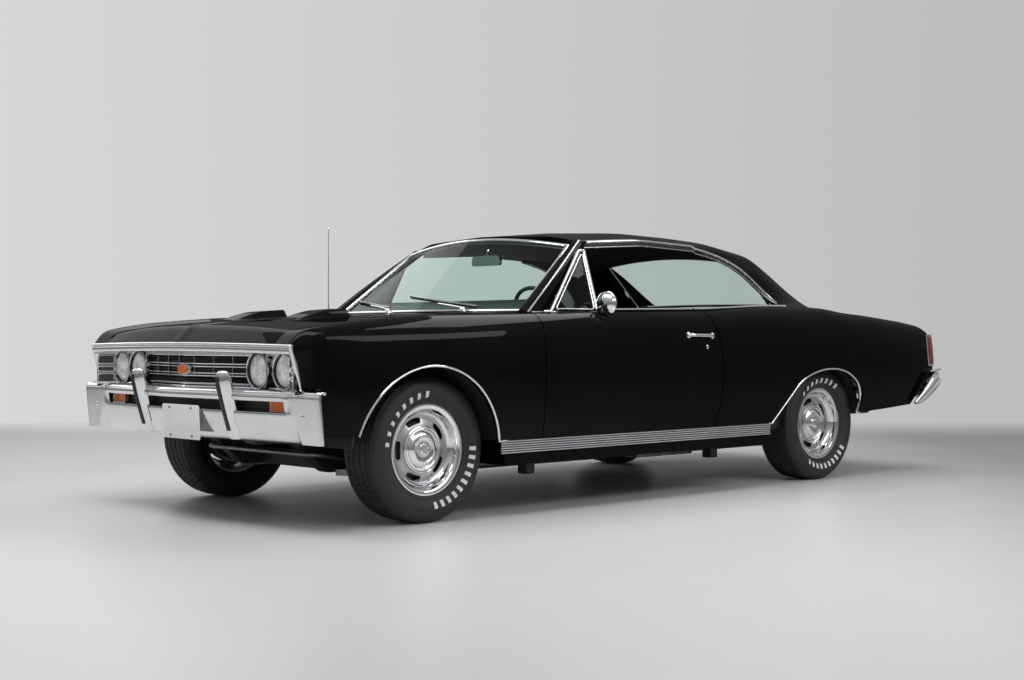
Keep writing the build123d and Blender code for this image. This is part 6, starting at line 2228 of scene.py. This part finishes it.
class CAR_OT_stage(bpy.types.Operator):
    """Pale studio floor, soft lamps and the camera"""

    bl_idname = "car.stage"
    bl_label = "Studio"

    def execute(self, context):
        stage = settings().stage
        scene = bpy.context.scene
        floor = mesh_object("studio_floor", [(-60, -60, 0), (60, -60, 0), (60, 60, 0), (-60, 60, 0)],
                            [(0, 1, 2, 3)], floor_finish(stage.floor_colour), weld=0)
        world = bpy.data.worlds.new("studio")
        world.use_nodes = True
        nodes, links = world.node_tree.nodes, world.node_tree.links
        nodes.clear()
        out, mix = nodes.new("ShaderNodeOutputWorld"), nodes.new("ShaderNodeMixShader")
        seen, lit = nodes.new("ShaderNodeBackground"), nodes.new("ShaderNodeBackground")
        ray, either = nodes.new("ShaderNodeLightPath"), nodes.new("ShaderNodeMath")
        either.operation = "MAXIMUM"
        # painted light and shade on the backdrop: the wall colour seen by the camera runs from 1.13 times
        # itself on the left to 0.84 times on the right
        way, across, span, tone = (nodes.new(n) for n in ("ShaderNodeTexCoord", "ShaderNodeVectorMath",
                                                          "ShaderNodeMapRange", "ShaderNodeMix"))
        across.operation = "DOT_PRODUCT"
        across.inputs[1].default_value = ACROSS_VIEW
        set_range(span, -0.35, 0.30)
        tone.data_type = "RGBA"
        tone.inputs[6].default_value = tuple(c * 1.13 for c in stage.wall_colour) + (1,)
        tone.inputs[7].default_value = tuple(c * 0.84 for c in stage.wall_colour) + (1,)
        links.new(way.outputs["Generated"], across.inputs[0])
        links.new(across.outputs["Value"], span.inputs["Value"])
        links.new(span.outputs["Result"], tone.inputs["Factor"])
        links.new(tone.outputs[2], seen.inputs["Color"])
        lit.inputs["Color"].default_value = (0.97, 0.98, 1.0, 1)
        height, dim, share, power = (nodes.new(n) for n in ("ShaderNodeSeparateXYZ", "ShaderNodeMapRange",
                                                            "ShaderNodeMix", "ShaderNodeMath"))
        set_range(dim, 0.0, 0.55, 0.42, 1.15)
        share.inputs[2].default_value, power.operation = 1.0, "MULTIPLY"
        power.inputs[1].default_value = stage.fill
        links.new(way.outputs["Generated"], height.inputs["Vector"])
        links.new(height.outputs["Z"], dim.inputs["Value"])
        links.new(ray.outputs["Is Glossy Ray"], share.inputs["Factor"])
        links.new(dim.outputs["Result"], share.inputs[3])
        links.new(share.outputs[0], power.inputs[0])
        links.new(power.outputs["Value"], lit.inputs["Strength"])
        links.new(ray.outputs["Is Camera Ray"], either.inputs[0])
        links.new(ray.outputs["Is Transmission Ray"], either.inputs[1])
        links.new(either.outputs["Value"], mix.inputs["Fac"])
        links.new(lit.outputs["Background"], mix.inputs[1])
        links.new(seen.outputs["Background"], mix.inputs[2])
        links.new(mix.outputs["Shader"], out.inputs["Surface"])
        scene.world = world
        for name, place, aim, size, power in STUDIO_LAMPS:
            lamp = bpy.data.lights.new(name, "AREA")
            lamp.shape, (lamp.size, lamp.size_y) = "RECTANGLE", size
            lamp.energy = power * stage.lamp_power
            holder = bpy.data.objects.new(name, lamp)
            scene.collection.objects.link(holder)
            turn = (Vector(aim) - Vector(place)).to_track_quat("-Z", "Y").to_matrix().to_4x4()
            holder.matrix_world = Matrix.Translation(place) @ turn
        yaw, pitch = math.radians(CAMERA_YAW_DEG), math.radians(CAMERA_PITCH_DEG)
        look = Vector((math.cos(yaw) * math.cos(pitch), math.sin(yaw) * math.cos(pitch), math.sin(pitch)))
        lens = bpy.data.cameras.new("camera")
        lens.sensor_width, lens.lens = SENSOR_MM, CAMERA_LENS_MM
        camera = bpy.data.objects.new("camera", lens)
        scene.collection.objects.link(camera)
        turn = look.to_track_quat("-Z", "Y").to_matrix().to_4x4()
        camera.matrix_world = Matrix.Translation(CAMERA_PLACE) @ turn
        scene.camera = camera
        scene.view_settings.view_transform = "Standard"
        return {"FINISHED"}


def floor_finish(colour):
    """Sealed pale concrete, faintly mottled and slightly glossy, darkened towards the right by painted shade,
    that fades out far away.
    """
    material = finish_of("studio_concrete", colour, tuple(c * 0.95 for c in colour), roughness=0.34,
                         spread=0.08, scale=0.9, detail=6.0, bump=0.02, bump_scale=30.0)
    tree = material.node_tree
    shader, out = tree.nodes["Principled BSDF"], tree.nodes["Material Output"]
    place, length = tree.nodes.new("ShaderNodeTexCoord"), tree.nodes.new("ShaderNodeVectorMath")
    # painted shade: the floor's colour falls to 0.45 of itself from 1 m to 3 m towards the right of the view
    across, floor_painted_shade, shade = (tree.nodes.new(n) for n in ("ShaderNodeVectorMath", "ShaderNodeMapRange",
                                                          "ShaderNodeVectorMath"))
    across.operation, shade.operation = "DOT_PRODUCT", "SCALE"
    across.inputs[1].default_value = ACROSS_VIEW
    set_range(floor_painted_shade, 1.0, 3.0, 1.0, 0.45)
    tree.links.new(place.outputs["Object"], across.inputs[0])
    tree.links.new(across.outputs["Value"], floor_painted_shade.inputs["Value"])
    tree.links.new(shader.inputs["Base Color"].links[0].from_socket, shade.inputs[0])
    tree.links.new(floor_painted_shade.outputs["Result"], shade.inputs["Scale"])
    tree.links.new(shade.outputs["Vector"], shader.inputs["Base Color"])
    length.inputs[1].default_value = ALONG_VIEW
    fade, clear, mix = (tree.nodes.new(n) for n in ("ShaderNodeMapRange", "ShaderNodeBsdfTransparent",
                                                    "ShaderNodeMixShader"))
    length.operation = "DOT_PRODUCT"
    fade.interpolation_type = "SMOOTHSTEP"
    set_range(fade, 3.4, 6.4)
    tree.links.new(place.outputs["Object"], length.inputs[0])
    tree.links.new(length.outputs["Value"], fade.inputs["Value"])
    radius, edge, either = (tree.nodes.new(n) for n in ("ShaderNodeVectorMath", "ShaderNodeMapRange",
                                                        "ShaderNodeMath"))
    radius.operation, either.operation = "LENGTH", "MAXIMUM"
    edge.interpolation_type = "SMOOTHSTEP"
    set_range(edge, 5.5, 9.0)
    tree.links.new(place.outputs["Object"], radius.inputs[0])
    tree.links.new(radius.outputs["Value"], edge.inputs["Value"])
    tree.links.new(fade.outputs["Result"], either.inputs[0])
    tree.links.new(edge.outputs["Result"], either.inputs[1])
    tree.links.new(either.outputs["Value"], mix.inputs["Fac"])
    tree.links.new(shader.outputs["BSDF"], mix.inputs[1])
    tree.links.new(clear.outputs["BSDF"], mix.inputs[2])
    tree.links.new(mix.outputs["Shader"], out.inputs["Surface"])
    return material


# ---------------------------------------------------------------- settings, panel and run
class PanelSettings(bpy.types.PropertyGroup):
    wall: bpy.props.FloatProperty(name="Wall", description="Thickness of the painted panels", default=0.014,
                                  unit="LENGTH")
    edge: bpy.props.FloatProperty(name="Edge radius", description="Rounding of the panels' edges",
                                  default=0.0022, unit="LENGTH")


class StageSettings(bpy.types.PropertyGroup):
    floor_colour: bpy.props.FloatVectorProperty(name="Floor", description="Colour of the studio floor",
                                                subtype="COLOR", default=(0.66, 0.655, 0.645))
    wall_colour: bpy.props.FloatVectorProperty(name="Wall", description="Colour behind the car",
                                               subtype="COLOR", default=(0.60, 0.61, 0.61))
    fill: bpy.props.FloatProperty(name="Fill", description="Strength of the even light all round",
                                  default=0.42)
    lamp_power: bpy.props.FloatProperty(name="Lamps", description="Share of the soft lamps' power",
                                        default=1.0)


class CarSettings(bpy.types.PropertyGroup):
    panels: bpy.props.PointerProperty(type=PanelSettings)
    stage: bpy.props.PointerProperty(type=StageSettings)


OPERATORS = (CAR_OT_shell, CAR_OT_fenders, CAR_OT_doors, CAR_OT_hood, CAR_OT_trunk_lid, CAR_OT_nose,
             CAR_OT_grille, CAR_OT_headlamps, CAR_OT_front_bumper, CAR_OT_tail, CAR_OT_glass, CAR_OT_pillars,
             CAR_OT_side_trim, CAR_OT_cowl, CAR_OT_inner_panels, CAR_OT_wheels, CAR_OT_seats,
             CAR_OT_dashboard, CAR_OT_cabin_linings, CAR_OT_engine, CAR_OT_lid_frames, CAR_OT_chassis,
             CAR_OT_kept_nodes, CAR_OT_stage)


class CAR_PT_builder(bpy.types.Panel):
    """Lists the car's pieces"""

    bl_idname = "CAR_PT_builder"
    bl_label = "Muscle car"
    bl_space_type = "VIEW_3D"
    bl_region_type = "UI"
    bl_category = "Car"

    def draw(self, context):
        for operator in OPERATORS:
            self.layout.operator(operator.bl_idname)


CLASSES = (PanelSettings, StageSettings, CarSettings, *OPERATORS, CAR_PT_builder)


def register():
    for kind in CLASSES:
        bpy.utils.register_class(kind)
    bpy.types.Scene.car = bpy.props.PointerProperty(type=CarSettings)


def unregister():
    del bpy.types.Scene.car
    for kind in reversed(CLASSES):
        bpy.utils.unregister_class(kind)


def main():
    register()
    for operator in OPERATORS:
        getattr(bpy.ops.car, operator.bl_idname.split(".")[1])()
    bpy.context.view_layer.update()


if __name__ == "__main__":
    main()
